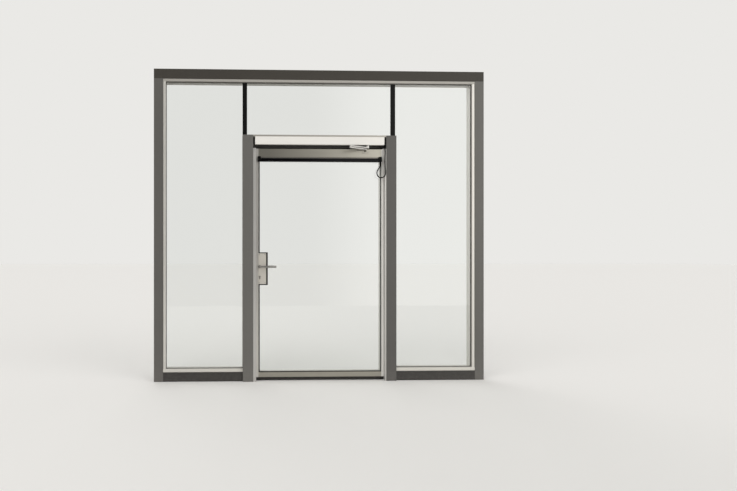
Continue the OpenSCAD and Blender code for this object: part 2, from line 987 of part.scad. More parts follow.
// Section of the bar and its caps, rounded towards the room in front, from y0 back to the leaf
module bar_section(y0, z1) {
    union() {
        translate([y0 + bar_r, bar_z0])
            square([leaf_front - y0 - bar_r, z1 - bar_z0]);
        translate([y0, bar_z0 + bar_r])
            square([bar_r + cut, z1 - bar_z0 - 2 * bar_r]);
        for (z = [bar_z0 + bar_r, z1 - bar_r])
            translate([y0 + bar_r, z])
                circle(r = bar_r);
    }
}

module bar_length(x0, x1, y0, z1) {
    translate([x0, 0, 0])
        rotate([90, 0, 90])
            linear_extrude(x1 - x0)
                bar_section(y0, z1);
}

// Sensor bar across the front of the leaf, between its caps
module sensor_bar() {
    color("#101010")
        bar_length(bar_x0 + bar_cap, bar_x1 - bar_cap, bar_front, bar_z1);
}

// Flat strip that carries the bar, showing above it
module sensor_strip() {
    color("#8e8a84")
        block(
            [bar_x0 + bar_cap, leaf_front - bar_strip_t, bar_z1],
            [bar_x1 - bar_cap, leaf_front, bar_z1 + bar_strip_h]
        );
}

// Taller caps at both ends of the bar; the one on the hinge side has the gland for the cable
module sensor_end_caps() {
    color("#0c0c0c") {
        for (x = [bar_x0, bar_x1 - bar_cap])
            bar_length(x, x + bar_cap, bar_front - cap_lip, bar_z1 + cap_rise);
        translate([bar_gland[0], bar_gland[1], bar_z0 - gland_l])
            cylinder(r = gland_r, h = gland_l + cut);
    }
}

// Bores for the lever necks
module lever_bores() {
    translate([lever_x, leaf_front - 2 * case_proud, lever_z])
        rotate([-90, 0, 0])
            cylinder(d = lever_d + 2 * neck_clear, h = leaf_t + 4 * case_proud);
}

// Lock case, a steel box beside the lock stile that reaches through the leaf
module lock_case() {
    color("#b5aea4")
        difference() {
            union() {
                block([sight_x0, case_front, case_z], [case_x1, case_rear, case_z + case_h]);
                block(
                    [leaf_x0 + lock_tube, leaf_front + flange_t, case_z],
                    [sight_x0 + cut, case_rear, case_z + case_h]
                );
            }
            block(
                [leaf_x0 + lock_tube - cut, leaf_front + flange_t + case_wall, case_z + case_wall],
                [case_x1 - case_wall, case_rear - case_wall, case_z + case_h - case_wall]
            );
            lever_bores();
        }
}

// Lever with neck, quarter bend and bar; side is -1 in front of the leaf and 1 behind it
module lever(side) {
    face = side < 0 ? leaf_front : post_y;
    neck_l = lever_off - lever_bend;
    color("#b9b4ad")
        translate([lever_x, face, lever_z])
            mirror([0, side < 0 ? 0 : 1, 0]) {
                translate([0, leaf_t / 4, 0])
                    rotate([90, 0, 0])
                        cylinder(d = lever_d, h = neck_l + leaf_t / 4);
                translate([lever_bend, -neck_l, 0])
                    rotate([0, 0, 180])
                        rotate_extrude(angle = 90)
                            translate([lever_bend, 0])
                                circle(d = lever_d);
                translate([lever_bend, -lever_off, 0])
                    rotate([0, 90, 0])
                        cylinder(d = lever_d, h = lever_len - lever_bend);
            }
}

// Outside lever with the square spindle that both levers share
module outside_lever() {
    lever(-1);
    color("#b9b4ad")
        translate([lever_x, 0, lever_z])
            block(
                [-square_w / 2, leaf_front, -square_w / 2],
                [square_w / 2, post_y - leaf_t / 4, square_w / 2]
            );
}

module inside_lever() {
    lever(1);
}

// Point on a smooth curve through the route at leg i and share t of that leg
function route_point(p, i, t) =
    let (
        a = p[max(i - 1, 0)],
        b = p[i],
        c = p[i + 1],
        d = p[min(i + 2, len(p) - 1)]
    )
    0.5 * (2 * b + (c - a) * t + (2 * a - 5 * b + 4 * c - d) * t * t + (3 * b - a - 3 * c + d) * t * t * t);

function route_curve(p, n) = [
    for (i = [0:len(p) - 2])
        for (k = [0:(i == len(p) - 2 ? n : n - 1)])
            route_point(p, i, k / n)
];

function unit(v) = v / norm(v);

// Directions along the curve, and one fixed side direction to build each ring on
function route_dir(c, i) = unit(c[min(i + 1, len(c) - 1)] - c[max(i - 1, 0)]);
function ring_points(c, i, r, n) =
    let (
        d = route_dir(c, i),
        u = unit(cross([0, 1, 0], d)),
        w = cross(d, u)
    )
    [for (k = [0:n - 1]) c[i] + r * cos(360 * k / n) * u + r * sin(360 * k / n) * w];

// Round tube swept along a curve
module sweep_tube(c, r, n) {
    m = len(c);
    points = [for (i = [0:m - 1]) each ring_points(c, i, r, n)];
    sides = [
        for (i = [0:m - 2])
            for (k = [0:n - 1])
                [i * n + k, i * n + (k + 1) % n, (i + 1) * n + (k + 1) % n, (i + 1) * n + k]
    ];
    first = [for (k = [n - 1:-1:0]) k];
    last = [for (k = [0:n - 1]) (m - 1) * n + k];
    polyhedron(points = points, faces = concat([first], sides, [last]), convexity = 6);
}

module door_cable() {
    color("#161616")
        sweep_tube(route_curve(cable_route, cable_steps), cable_r, cable_sides);
}

head_frame();
left_jamb();
right_jamb();
left_sill();
right_sill();
head_bead();
jamb_beads();
sill_beads();
rear_head_bead();
rear_jamb_beads();
rear_sill_beads();
front_gasket();
rear_gasket();
left_sidelight_glass();
right_sidelight_glass();
overpanel_glass();
left_glass_joint();
right_glass_joint();
lock_post();
hinge_post();
door_header();
lock_stop();
hinge_stop();
stop_seals();
strike_plate();
frame_hinges();
operator_chassis();
operator_cover();
cable_gland();
drive_arm();
link_arm();
lock_stile();
hinge_stile();
top_rail();
bottom_rail();
leaf_glass();
leaf_gasket();
leaf_rear_bead();
drop_seal();
leaf_hinges();
arm_shoe();
sensor_bar();
sensor_strip();
sensor_end_caps();
lock_case();
outside_lever();
inside_lever();
door_cable();
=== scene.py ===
"""Looks of a glazed partition screen with a single-leaf automatic swing door."""

import logging
import math
from collections.abc import Callable
from dataclasses import dataclass, field
from enum import Enum

import bmesh
import bpy
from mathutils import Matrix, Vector

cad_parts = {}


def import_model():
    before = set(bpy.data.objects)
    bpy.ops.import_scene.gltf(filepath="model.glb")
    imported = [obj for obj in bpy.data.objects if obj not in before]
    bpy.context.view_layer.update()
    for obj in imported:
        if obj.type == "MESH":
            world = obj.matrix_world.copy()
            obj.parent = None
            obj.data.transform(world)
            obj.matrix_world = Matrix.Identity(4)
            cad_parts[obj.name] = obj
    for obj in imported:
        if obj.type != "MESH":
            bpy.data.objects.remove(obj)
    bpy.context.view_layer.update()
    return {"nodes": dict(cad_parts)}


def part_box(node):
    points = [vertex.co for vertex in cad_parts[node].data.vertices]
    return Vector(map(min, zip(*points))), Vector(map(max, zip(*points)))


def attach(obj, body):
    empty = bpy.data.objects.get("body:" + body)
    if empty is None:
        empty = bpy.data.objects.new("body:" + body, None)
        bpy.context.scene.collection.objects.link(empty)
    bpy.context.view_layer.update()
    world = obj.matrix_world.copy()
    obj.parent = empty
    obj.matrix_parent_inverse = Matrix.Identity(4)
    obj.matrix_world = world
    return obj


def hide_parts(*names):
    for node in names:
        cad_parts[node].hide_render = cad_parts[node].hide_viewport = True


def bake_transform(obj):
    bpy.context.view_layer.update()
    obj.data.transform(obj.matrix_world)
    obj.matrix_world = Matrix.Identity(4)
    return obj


logging.basicConfig(level=logging.INFO, format="%(message)s")
log = logging.getLogger("screen")

Point = tuple[float, float, float]
Span = tuple[float, float]
Profile = tuple[Span, ...]
Colour = tuple[float, float, float]
Box = tuple[Span, Span, Span]
Socket = bpy.types.NodeSocket
Test = Callable[[Vector, Vector], bool]

MM = 0.001
SQUARE = 0.9  # least cosine at which a direction runs along an axis
TOUCH = 0.1  # millimetres within which a face or an edge is at a place


class Axis(Enum):
    """Direction in which a round piece or a face points."""

    FRONT = (0.0, -1.0, 0.0)
    REAR = (0.0, 1.0, 0.0)
    UP = (0.0, 0.0, 1.0)
    DOWN = (0.0, 0.0, -1.0)
    RIGHT = (1.0, 0.0, 0.0)
    LEFT = (-1.0, 0.0, 0.0)

    def same_way(self, way: Vector) -> bool:
        """Tell whether a direction goes this way."""
        return way.dot(Vector(self.value)) > SQUARE

    def either_way(self, way: Vector) -> bool:
        """Tell whether a direction goes this way or straight back."""
        return abs(way.dot(Vector(self.value))) > SQUARE


class Grain(Enum):
    """How often a metal's brushing repeats in a metre, along x, y and z."""

    ACROSS = (5.0, 420.0, 420.0)
    UPRIGHT = (420.0, 420.0, 5.0)
    EVEN = (160.0, 160.0, 160.0)
    FINE = (420.0, 420.0, 420.0)


def metres(point: Point | Vector) -> Vector:
    """Turn a point in millimetres into metres."""
    return Vector(point) * MM


def reach(span: Span, start: float, way: float = 1.0) -> Span:
    """Give the range of a span that is counted from a place, forwards or back."""
    return (start + way * span[0], start + way * span[1])


def linear(rgb: Colour) -> tuple[float, ...]:
    """Turn a colour written in 0 to 255 into the linear values that shaders take, by the sRGB curve.

    Args:
        rgb: The colour as it shows on a screen.

    Returns:
        Linear red, green and blue, and a full alpha.
    """
    parts = [c / 255 for c in rgb]
    low = [c / 12.92 if c <= 0.04045 else ((c + 0.055) / 1.055) ** 2.4 for c in parts]
    return (*low, 1.0)


# Materials

DUST_RGB: Colour = (150, 145, 138)
STREAK_SHARE, CLOUD_SHARE = 0.6, 0.4  # of the swing in tone
NOISE_MIDDLE: Span = (0.3, 0.7)
STREAK_DULLS: Span = (-0.04, 0.05)
STREAK_HEIGHT = 0.0006
SMUDGE_DULLS, SMUDGE_DULLS_GLASS = 0.06, 0.015
MIX_SHARE, MIX_FIRST, MIX_SECOND, MIX_RESULT = 0, 6, 7, 2  # colour sockets of the Mix node


class Sheet:
    """A node tree with short calls for adding and joining nodes."""

    def __init__(self, tree: bpy.types.NodeTree) -> None:
        """Keep the tree and clear what Blender put in it."""
        self.tree = tree
        tree.nodes.clear()

    def add(self, kind: str, values: dict | None = None, **options: object) -> bpy.types.Node:
        """Add a node.

        Args:
            kind: The node's type name.
            values: Socket name or number to a value, or to another node's output.
            options: Attributes of the node, such as its operation.

        Returns:
            The new node.
        """
        node = self.tree.nodes.new(kind)
        for name, value in options.items():
            setattr(node, name, value)
        for key, value in (values or {}).items():
            if isinstance(value, Socket):
                self.tree.links.new(value, node.inputs[key])
            else:
                node.inputs[key].default_value = value
        return node

    def maths(self, operation: str, a: object, b: object, clamp: bool = False) -> Socket:
        """Add a Math node and give its output."""
        return self.add("ShaderNodeMath", {0: a, 1: b}, operation=operation, use_clamp=clamp).outputs[0]

    def noise(self, place: object, scale: float, detail: float, roughness: float = 0.5) -> Socket:
        """Add a Noise Texture node and give its value."""
        values = {"Vector": place, "Scale": scale, "Detail": detail, "Roughness": roughness}
        return self.add("ShaderNodeTexNoise", values).outputs[0]

    def spread(self, value: object, source: Span, target: Span = (0.0, 1.0), **options: object) -> Socket:
        """Map a value from one range to another, held at both ends.

        Args:
            value: The value, or the output that gives it.
            source: The range it comes from.
            target: The range it goes to.
            options: Attributes of the node.

        Returns:
            The mapped value.
        """
        values = {"Value": value, "From Min": source[0], "From Max": source[1]}
        values |= {"To Min": target[0], "To Max": target[1]}
        return self.add("ShaderNodeMapRange", values, clamp=True, **options).outputs[0]

    def mix(self, share: object, first: object, second: object) -> Socket:
        """Mix a share of the second colour into the first, and give the result."""
        values = {MIX_SHARE: share, MIX_FIRST: first, MIX_SECOND: second}
        return self.add("ShaderNodeMix", values, data_type="RGBA").outputs[MIX_RESULT]


def start_group(name: str, entry: tuple[str, str, object], masks: tuple[str, ...]) -> tuple:
    """Start a shader node group with one input, and masks as its outputs.

    Args:
        name: Name of the group.
        entry: Name, socket type and default of the input.
        masks: Names of the outputs.

    Returns:
        The group's sheet, and the socket that gives the input inside it.
    """
    tree = bpy.data.node_groups.new(name, "ShaderNodeTree")
    label, kind, default = entry
    tree.interface.new_socket(name=label, in_out="INPUT", socket_type=kind).default_value = default
    for mask in masks:
        tree.interface.new_socket(name=mask, in_out="OUTPUT", socket_type="NodeSocketFloat")
    sheet = Sheet(tree)
    return sheet, sheet.add("NodeGroupInput").outputs[label]


def start_material(name: str) -> tuple[bpy.types.Material, Sheet]:
    """Start a material without nodes.

    Args:
        name: Name of the material.

    Returns:
        The material and its sheet.
    """
    material = bpy.data.materials.new(name)
    material.use_nodes = True
    return material, Sheet(material.node_tree)


class Effects:
    """Node groups that several finishes share."""

    DUST_REACH, DUST_FALL = 0.3, 2.0
    SPECKS: tuple[Span, Span] = ((0.35, 0.75), (0.2, 1.0))
    BLOTS: Span = (0.45, 0.8)

    def __init__(self) -> None:
        """Build each group once."""
        self.grain = self._grain()
        self.handling = self._handling()

    def _grain(self) -> bpy.types.NodeTree:
        """Draw fine streaks or speckle, and a broad cloud, as masks.

        Returns:
            The group.
        """
        entry = ("Repeats", "NodeSocketVector", Grain.EVEN.value)
        sheet, repeats = start_group("fine_grain", entry, ("Streak", "Cloud"))
        place = sheet.add("ShaderNodeTexCoord").outputs["Object"]
        drawn = sheet.add("ShaderNodeVectorMath", {0: place, 1: repeats}, operation="MULTIPLY").outputs[0]
        streak = sheet.noise(drawn, scale=1.0, detail=3.0)
        cloud = sheet.noise(place, scale=1.7, detail=2.0)
        sheet.add("NodeGroupOutput", {"Streak": streak, "Cloud": cloud})
        return sheet.tree

    def _handling(self) -> bpy.types.NodeTree:
        """Draw dust close to the floor, and faint smudges, as masks.

        Returns:
            The group.
        """
        entry = ("Reach", "NodeSocketFloat", self.DUST_REACH)
        sheet, limit = start_group("handling", entry, ("Dust", "Smudge"))
        place = sheet.add("ShaderNodeTexCoord").outputs["Object"]
        height = sheet.add("ShaderNodeSeparateXYZ", {0: place}).outputs["Z"]
        near = sheet.maths("SUBTRACT", 1.0, sheet.maths("DIVIDE", height, limit), clamp=True)
        speck = sheet.noise(place, scale=55.0, detail=4.0, roughness=0.7)
        fall = sheet.maths("POWER", near, self.DUST_FALL)
        dust = sheet.maths("MULTIPLY", fall, sheet.spread(speck, *self.SPECKS))
        blot = sheet.noise(place, scale=6.0, detail=5.0, roughness=0.65)
        sheet.add("NodeGroupOutput", {"Dust": dust, "Smudge": sheet.spread(blot, self.BLOTS)})
        return sheet.tree


@dataclass(frozen=True)
class Solid:
    """A solid finish: its colour, gloss, grain and how it is handled."""

    name: str
    rgb: Colour
    metallic: float = 0.0
    roughness: float = 0.4
    grain: Grain = Grain.EVEN
    depth: float = 0.04
    tone: float = 0.05
    dust: float = 0.15
    specular: float = 0.5

    def shade(self, tone: float) -> tuple[float, ...]:
        """Give the finish's linear colour, lighter or darker by a share."""
        return (*(min(1.0, c * (1 + tone)) for c in linear(self.rgb)[:3]), 1.0)

    def build(self, effects: Effects) -> bpy.types.Material:
        """Make the material.

        Args:
            effects: The shared node groups.

        Returns:
            The node-based material.
        """
        material, sheet = start_material(self.name)
        grain = sheet.add("ShaderNodeGroup", node_tree=effects.grain)
        grain.inputs["Repeats"].default_value = self.grain.value
        marks = sheet.add("ShaderNodeGroup", node_tree=effects.handling)
        streak, cloud = grain.outputs["Streak"], grain.outputs["Cloud"]
        cloudy = sheet.maths("MULTIPLY", cloud, CLOUD_SHARE)
        blend = sheet.maths("ADD", sheet.maths("MULTIPLY", streak, STREAK_SHARE), cloudy)
        colour = sheet.mix(sheet.spread(blend, NOISE_MIDDLE), self.shade(-self.tone), self.shade(self.tone))
        dust = sheet.maths("MULTIPLY", marks.outputs["Dust"], self.dust)
        colour = sheet.mix(dust, colour, linear(DUST_RGB))
        smudge = sheet.maths("MULTIPLY", marks.outputs["Smudge"], SMUDGE_DULLS)
        rough = sheet.maths("ADD", smudge, self.roughness)
        rough = sheet.maths("ADD", rough, sheet.spread(streak, NOISE_MIDDLE, STREAK_DULLS))
        relief = {"Height": streak, "Strength": self.depth, "Distance": STREAK_HEIGHT}
        bump = sheet.add("ShaderNodeBump", relief).outputs[0]
        values = {"Base Color": colour, "Roughness": rough, "Normal": bump}
        values |= {"Metallic": self.metallic, "Specular IOR Level": self.specular}
        shader = sheet.add("ShaderNodeBsdfPrincipled", values)
        sheet.add("ShaderNodeOutputMaterial", {"Surface": shader.outputs[0]})
        return material


@dataclass(frozen=True)
class Glass:
    """Clear glass with a faint tint, whose shadow is nearly clear."""

    name: str
    tint: Colour

    def build(self, effects: Effects) -> bpy.types.Material:
        """Make the material.

        Args:
            effects: The shared node groups.

        Returns:
            The node-based material.
        """
        material, sheet = start_material(self.name)
        marks = sheet.add("ShaderNodeGroup", node_tree=effects.handling)
        rough = sheet.maths("MULTIPLY", marks.outputs["Smudge"], SMUDGE_DULLS_GLASS)
        tint = linear(self.tint)
        values = {"Base Color": tint, "Roughness": rough, "IOR": 1.5, "Transmission Weight": 1.0}
        shader = sheet.add("ShaderNodeBsdfPrincipled", values)
        clear = sheet.add("ShaderNodeBsdfTransparent", {"Color": tint})
        shadow = sheet.add("ShaderNodeLightPath").outputs["Is Shadow Ray"]
        mix = sheet.add("ShaderNodeMixShader", {0: shadow, 1: shader.outputs[0], 2: clear.outputs[0]})
        sheet.add("ShaderNodeOutputMaterial", {"Surface": mix.outputs[0]})
        return material


class Look(Enum):
    """The finishes of this screen."""

    # painted shade: the head is a darker copy of the jamb finish, standing in for the shade under the reveal
    HEAD = Solid("head_bronze_painted_shade", (65, 62, 57), 0.02, 0.45, Grain.ACROSS, specular=0.12)
    JAMB = Solid("jamb_bronze", (92, 90, 86), 0.1, 0.45, Grain.UPRIGHT, specular=0.35)
    # painted shade: the sills are a darker copy of the jamb finish, standing in for a dark floor mirrored in
    # them
    SILL = Solid("sill_bronze_painted_shade", (50, 48, 46), 0.1, 0.45, Grain.ACROSS, specular=0.35)
    # painted shade: the head beads are a darker copy of the bead finish, standing in for the shade under the
    # head
    HEAD_BEAD = Solid("head_bead_painted_shade", (160, 157, 150), 0.1, 0.4, Grain.ACROSS, specular=0.2)
    BEAD_ACROSS = Solid("bead_satin_across", (206, 203, 195), 0.3, 0.36, Grain.ACROSS)
    BEAD_UPRIGHT = Solid("bead_satin_upright", (204, 201, 194), 0.3, 0.36, Grain.UPRIGHT)
    POST = Solid("post_satin", (99, 97, 93), 0.1, 0.45, Grain.UPRIGHT, dust=0.2, specular=0.35)
    # painted shade: the hinge post is a darker copy of the post finish, standing in for the shade it stands
    # in
    HINGE_POST = Solid("hinge_post_painted_shade", (84, 82, 79), 0.1, 0.45, Grain.UPRIGHT, dust=0.2, specular=0.3)
    HEADER = Solid("header_satin", (162, 158, 150), 0.4, 0.4, Grain.ACROSS)
    STOP = Solid("stop_satin", (186, 184, 180), 0.5, 0.36, Grain.UPRIGHT)
    STILE = Solid("stile_brushed", (212, 209, 203), 0.7, 0.33, Grain.UPRIGHT)
    # painted light: the hinge stile is a lighter copy of the stile finish, standing in for the bright light
    # it mirrors
    HINGE_STILE = Solid("hinge_stile_painted_light", (224, 222, 217), 0.4, 0.34, Grain.UPRIGHT)
    RAIL = Solid("rail_brushed", (166, 162, 152), 0.9, 0.32, Grain.ACROSS)
    PLATE = Solid("plate_brushed", (212, 207, 197), 0.5, 0.34, Grain.UPRIGHT)
    STEEL = Solid("lever_steel", (152, 150, 146), 0.9, 0.28, Grain.ACROSS, depth=0.006)
    SCREW = Solid("screw_steel", (150, 147, 142), 0.95, 0.3, Grain.FINE, depth=0.02)
    COVER = Solid("cover_white", (224, 221, 215), 0.0, 0.38, Grain.FINE, depth=0.02, tone=0.012)
    CHASSIS = Solid("chassis_dark", (84, 81, 78), 0.2, 0.5, specular=0.4)
    ARM = Solid("arm_silver", (214, 211, 207), 0.5, 0.32, Grain.FINE, depth=0.02)
    BLACK = Solid("sensor_black", (7, 7, 8), 0.0, 0.5, Grain.FINE, depth=0.02, dust=0.04, specular=0.08)
    LENS = Solid("sensor_lens", (5, 5, 7), 0.0, 0.22, Grain.FINE, depth=0.0, dust=0.04, specular=0.1)
    STRIP = Solid("sensor_strip_grey", (140, 136, 130), 0.6, 0.4, Grain.ACROSS)
    RUBBER = Solid("gasket_rubber", (108, 105, 100), 0.0, 0.62, depth=0.1, tone=0.1)
    PALE_SEAL = Solid("stop_seal_grey", (186, 184, 179), 0.0, 0.6, depth=0.1, tone=0.08, specular=0.35)
    LEAF_RUBBER = Solid("leaf_gasket_rubber", (34, 32, 29), 0.0, 0.65, depth=0.1, tone=0.1, specular=0.3)
    # partly painted shadow: near black so the lock case's edges read as shadow lines round the cover plates;
    # on the gasket lip it is the rubber's own dark colour
    LOCK_EDGE = Solid("lock_dark_lip_and_painted_shadow", (12, 11, 10), 0.0, 0.5, depth=0.05, specular=0.15)
    JOINT = Solid("joint_black", (9, 9, 8), 0.0, 0.5, depth=0.05, specular=0.15)
    SEAL = Solid("seal_rubber", (22, 21, 20), 0.0, 0.65, depth=0.1, tone=0.1, specular=0.25)
    CABLE = Solid("cable_jacket", (8, 8, 8), 0.0, 0.55, Grain.FINE, depth=0.05, dust=0.04, specular=0.08)
    GLASS = Glass("clear_glass", (248, 250, 249))


# The bench

ROUND_STEPS = 2
WELD_REACH = 0.00001
NODE_SHARP_DEG, PIECE_SMOOTH_DEG, CABLE_SMOOTH_DEG = 40.0, 35.0, 50.0


def clear_selection() -> None:
    """Leave edit mode and deselect everything, since operators act on all that is selected."""
    if bpy.context.mode != "OBJECT":
        bpy.ops.object.mode_set(mode="OBJECT")
    for obj in bpy.context.selected_objects:
        obj.select_set(False)


class Piece:
    """A piece on the bench: a primitive that is shaped with Blender's own tools."""

    def __init__(self, name: str) -> None:
        """Take the object that was just added.

        Args:
            name: The piece's name.
        """
        self.obj = bpy.context.object
        self.obj.name = self.obj.data.name = name
        bpy.ops.object.transform_apply(location=True, rotation=True, scale=True)

    @classmethod
    def block(cls, name: str, x: Span, y: Span, z: Span) -> "Piece":
        """Start from a cube that fills three ranges in millimetres.

        Args:
            name: The piece's name.
            x: Its range across, either end first.
            y: Its range in depth, either end first.
            z: Its range in height, either end first.

        Returns:
            The piece.
        """
        clear_selection()
        low, high = (metres(corner) for corner in zip(sorted(x), sorted(y), sorted(z)))
        bpy.ops.mesh.primitive_cube_add(size=1.0, location=(low + high) / 2, scale=high - low)
        return cls(name)

    @classmethod
    def turned(cls, name: str, foot: Point, axis: Axis, profile: Profile, sides: int = 32) -> "Piece":
        """Turn a round piece, from a disc that is extruded and resized step by step.

        Args:
            name: The piece's name.
            foot: Where its axis starts.
            axis: Where it points.
            profile: Height along the axis and radius at each step.
            sides: Sides of the disc.

        Returns:
            The piece.
        """
        clear_selection()
        way, start = Vector(axis.value), metres(foot)
        bpy.ops.mesh.primitive_circle_add(
            vertices=sides, radius=profile[0][1] * MM, fill_type="NGON",
            location=start + way * profile[0][0] * MM, rotation=way.to_track_quat("Z", "Y").to_euler(),
        )
        piece = cls(name)
        piece.open()
        bpy.ops.mesh.select_all(action="SELECT")
        for (h0, r0), (h1, r1) in zip(profile, profile[1:]):
            bpy.ops.mesh.extrude_region_move(TRANSFORM_OT_translate={"value": way * (h1 - h0) * MM})
            if r1 != r0:
                bpy.ops.transform.resize(value=(r1 / r0,) * 3, center_override=start + way * h1 * MM)
        return piece

    def open(self) -> None:
        """Put the piece in edit mode, alone."""
        clear_selection()
        self.obj.select_set(True)
        bpy.context.view_layer.objects.active = self.obj
        bpy.ops.object.mode_set(mode="EDIT")

    def close(self) -> None:
        """Turn all faces outwards and leave edit mode, with the piece selected alone."""
        self.open()
        bpy.ops.mesh.select_all(action="SELECT")
        bpy.ops.mesh.normals_make_consistent(inside=False)
        bpy.ops.object.mode_set(mode="OBJECT")

    def _select(self, mode: str, test: Test) -> "Piece":
        """Open the piece and select some of its faces or edges.

        Args:
            mode: Blender's name for what is selected.
            test: Takes the middle in millimetres, and a face's normal or an edge's direction.

        Returns:
            The piece.
        """
        self.open()
        bpy.ops.mesh.select_mode(type=mode)
        bpy.ops.mesh.select_all(action="DESELECT")
        mesh = bmesh.from_edit_mesh(self.obj.data)
        if mode == "FACE":
            for face in mesh.faces:
                face.select_set(test(face.calc_center_median() / MM, face.normal))
        else:
            for edge in mesh.edges:
                a, b = (v.co for v in edge.verts)
                edge.select_set(test((a + b) / 2 / MM, (b - a).normalized()))
        bmesh.update_edit_mesh(self.obj.data)
        return self

    def faces(self, test: Test) -> "Piece":
        """Select faces by their middles and normals."""
        return self._select("FACE", test)

    def edges(self, test: Test) -> "Piece":
        """Select edges by their middles and directions."""
        return self._select("EDGE", test)

    def inset(self, width: float) -> "Piece":
        """Inset the selected faces."""
        bpy.ops.mesh.inset(thickness=width * MM)
        return self

    def narrow(self, share: float) -> "Piece":
        """Bring what is selected to a share of its depth."""
        bpy.ops.transform.resize(value=(1.0, share, 1.0))
        return self

    def bevel(self, width: float, segments: int = 3) -> "Piece":
        """Round the selected edges."""
        bpy.ops.mesh.bevel(offset=width * MM, segments=segments, affect="EDGES")
        return self

    def round_all(self, width: float) -> "Piece":
        """Round every sharp edge with a Bevel modifier.

        Args:
            width: Width of the rounding.

        Returns:
            The piece.
        """
        self.close()
        bevel = self.obj.modifiers.new("round", "BEVEL")
        bevel.width, bevel.segments, bevel.limit_method = width * MM, ROUND_STEPS, "ANGLE"
        bpy.ops.object.modifier_apply(modifier=bevel.name)
        return self

    def cut(self, tool: "Piece") -> "Piece":
        """Cut another piece out of this one, and throw that piece away.

        Args:
            tool: The piece to cut with.

        Returns:
            This piece.
        """
        tool.close()
        self.close()
        boolean = self.obj.modifiers.new("cut", "BOOLEAN")
        boolean.operation, boolean.object, boolean.solver = "DIFFERENCE", tool.obj, "EXACT"
        bpy.ops.object.modifier_apply(modifier=boolean.name)
        bpy.data.objects.remove(tool.obj)
        return self

    def copy(self, name: str, shift: Point | Vector) -> "Piece":
        """Copy the piece, with its own mesh, to another place.

        Args:
            name: The copy's name.
            shift: Its way from this piece in millimetres.

        Returns:
            The copy.
        """
        self.close()
        bpy.ops.object.duplicate(linked=False)
        bpy.context.object.location = metres(shift)
        return Piece(name)


@dataclass(frozen=True)
class Fastener:
    """A round head with a hexagon socket."""

    head_r: float
    head_h: float
    key: float
    axis: Axis
    sunk: float = 0.3
    rim_share: float = 0.45
    rim_curve: Span = (0.35, 0.3)
    socket_floor: float = 0.35
    sides: tuple[int, int] = (24, 6)

    def make(self, name: str, foot: Point) -> Piece:
        """Make the head.

        Args:
            name: Its name.
            foot: The middle of its seat.

        Returns:
            The piece.
        """
        r, h, rim = self.head_r, self.head_h, self.head_h * self.rim_share
        shoulder = (h - rim * self.rim_curve[1], r - rim * self.rim_curve[0])
        profile = ((-self.sunk, r), (h - rim, r), shoulder, (h, r - rim))
        head = Piece.turned(name, foot, self.axis, profile, self.sides[0])
        hollow = ((h * self.socket_floor, self.key), (h + 1, self.key))
        return head.cut(Piece.turned("socket", foot, self.axis, hollow, self.sides[1]))


@dataclass
class Shop:
    """What every sub-assembly works with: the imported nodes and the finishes."""

    nodes: dict[str, bpy.types.Object]
    effects: Effects = field(default_factory=Effects)
    made: dict[Look, bpy.types.Material] = field(default_factory=dict)

    def paint(self, obj: bpy.types.Object, look: Look) -> None:
        """Give an object one finish, whose material is made at its first use.

        Args:
            obj: The object.
            look: The finish.
        """
        if look not in self.made:
            self.made[look] = look.value.build(self.effects)
        obj.data.materials.clear()
        obj.data.materials.append(self.made[look])


@dataclass
class SubAssembly:
    """A part of the screen whose pieces are built and dressed together."""

    shop: Shop

    def dress(self, look: Look, *names: str, round_mm: float = 0.7) -> None:
        """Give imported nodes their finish, and round their edges a little.

        Args:
            look: The finish.
            names: The nodes.
            round_mm: Width of the rounding, or 0 for none.
        """
        for name in names:
            node = self.shop.nodes[name]
            self.shop.paint(node, look)
            if round_mm > 0:
                node.modifiers.new("weld", "WELD").merge_threshold = WELD_REACH
                bevel = node.modifiers.new("round", "BEVEL")
                bevel.width, bevel.segments, bevel.limit_method = round_mm * MM, ROUND_STEPS, "ANGLE"
                bevel.angle_limit = math.radians(NODE_SHARP_DEG)
                node.modifiers.new("normals", "WEIGHTED_NORMAL").keep_sharp = False
            log.info("%s: %s", name, look.value.name)

    def hand_over(self, piece: Piece, body: str, slot: str, look: Look, replaces: str = "") -> None:
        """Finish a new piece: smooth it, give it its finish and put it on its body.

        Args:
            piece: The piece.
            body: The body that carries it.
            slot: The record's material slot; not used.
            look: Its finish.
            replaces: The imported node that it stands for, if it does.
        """
        piece.close()
        bpy.ops.object.shade_smooth_by_angle(angle=math.radians(PIECE_SMOOTH_DEG))
        self.shop.paint(piece.obj, look)
        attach(piece.obj, body)
        if replaces:
            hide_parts(replaces)
        log.info("%s: new, on %s, %s", piece.obj.name, body, look.value.name)

    def screw_on(
        self, kind: Fastener, name: str, places: list[Point], body: str, slot: str, look: Look = Look.SCREW
    ) -> None:
        """Make a fastener and copy it to further places.

        Args:
            kind: The fastener.
            name: Start of each name.
            places: The middle of each seat.
            body: The body that carries them.
            slot: Their material slot.
            look: Their finish.
        """
        first = kind.make(f"{name}_1", places[0])
        shifts = [Vector(place) - Vector(places[0]) for place in places[1:]]
        copies = [first.copy(f"{name}_{k}", shift) for k, shift in enumerate(shifts, start=2)]
        for piece in [first, *copies]:
            self.hand_over(piece, body, slot, look)


# Sub-assemblies


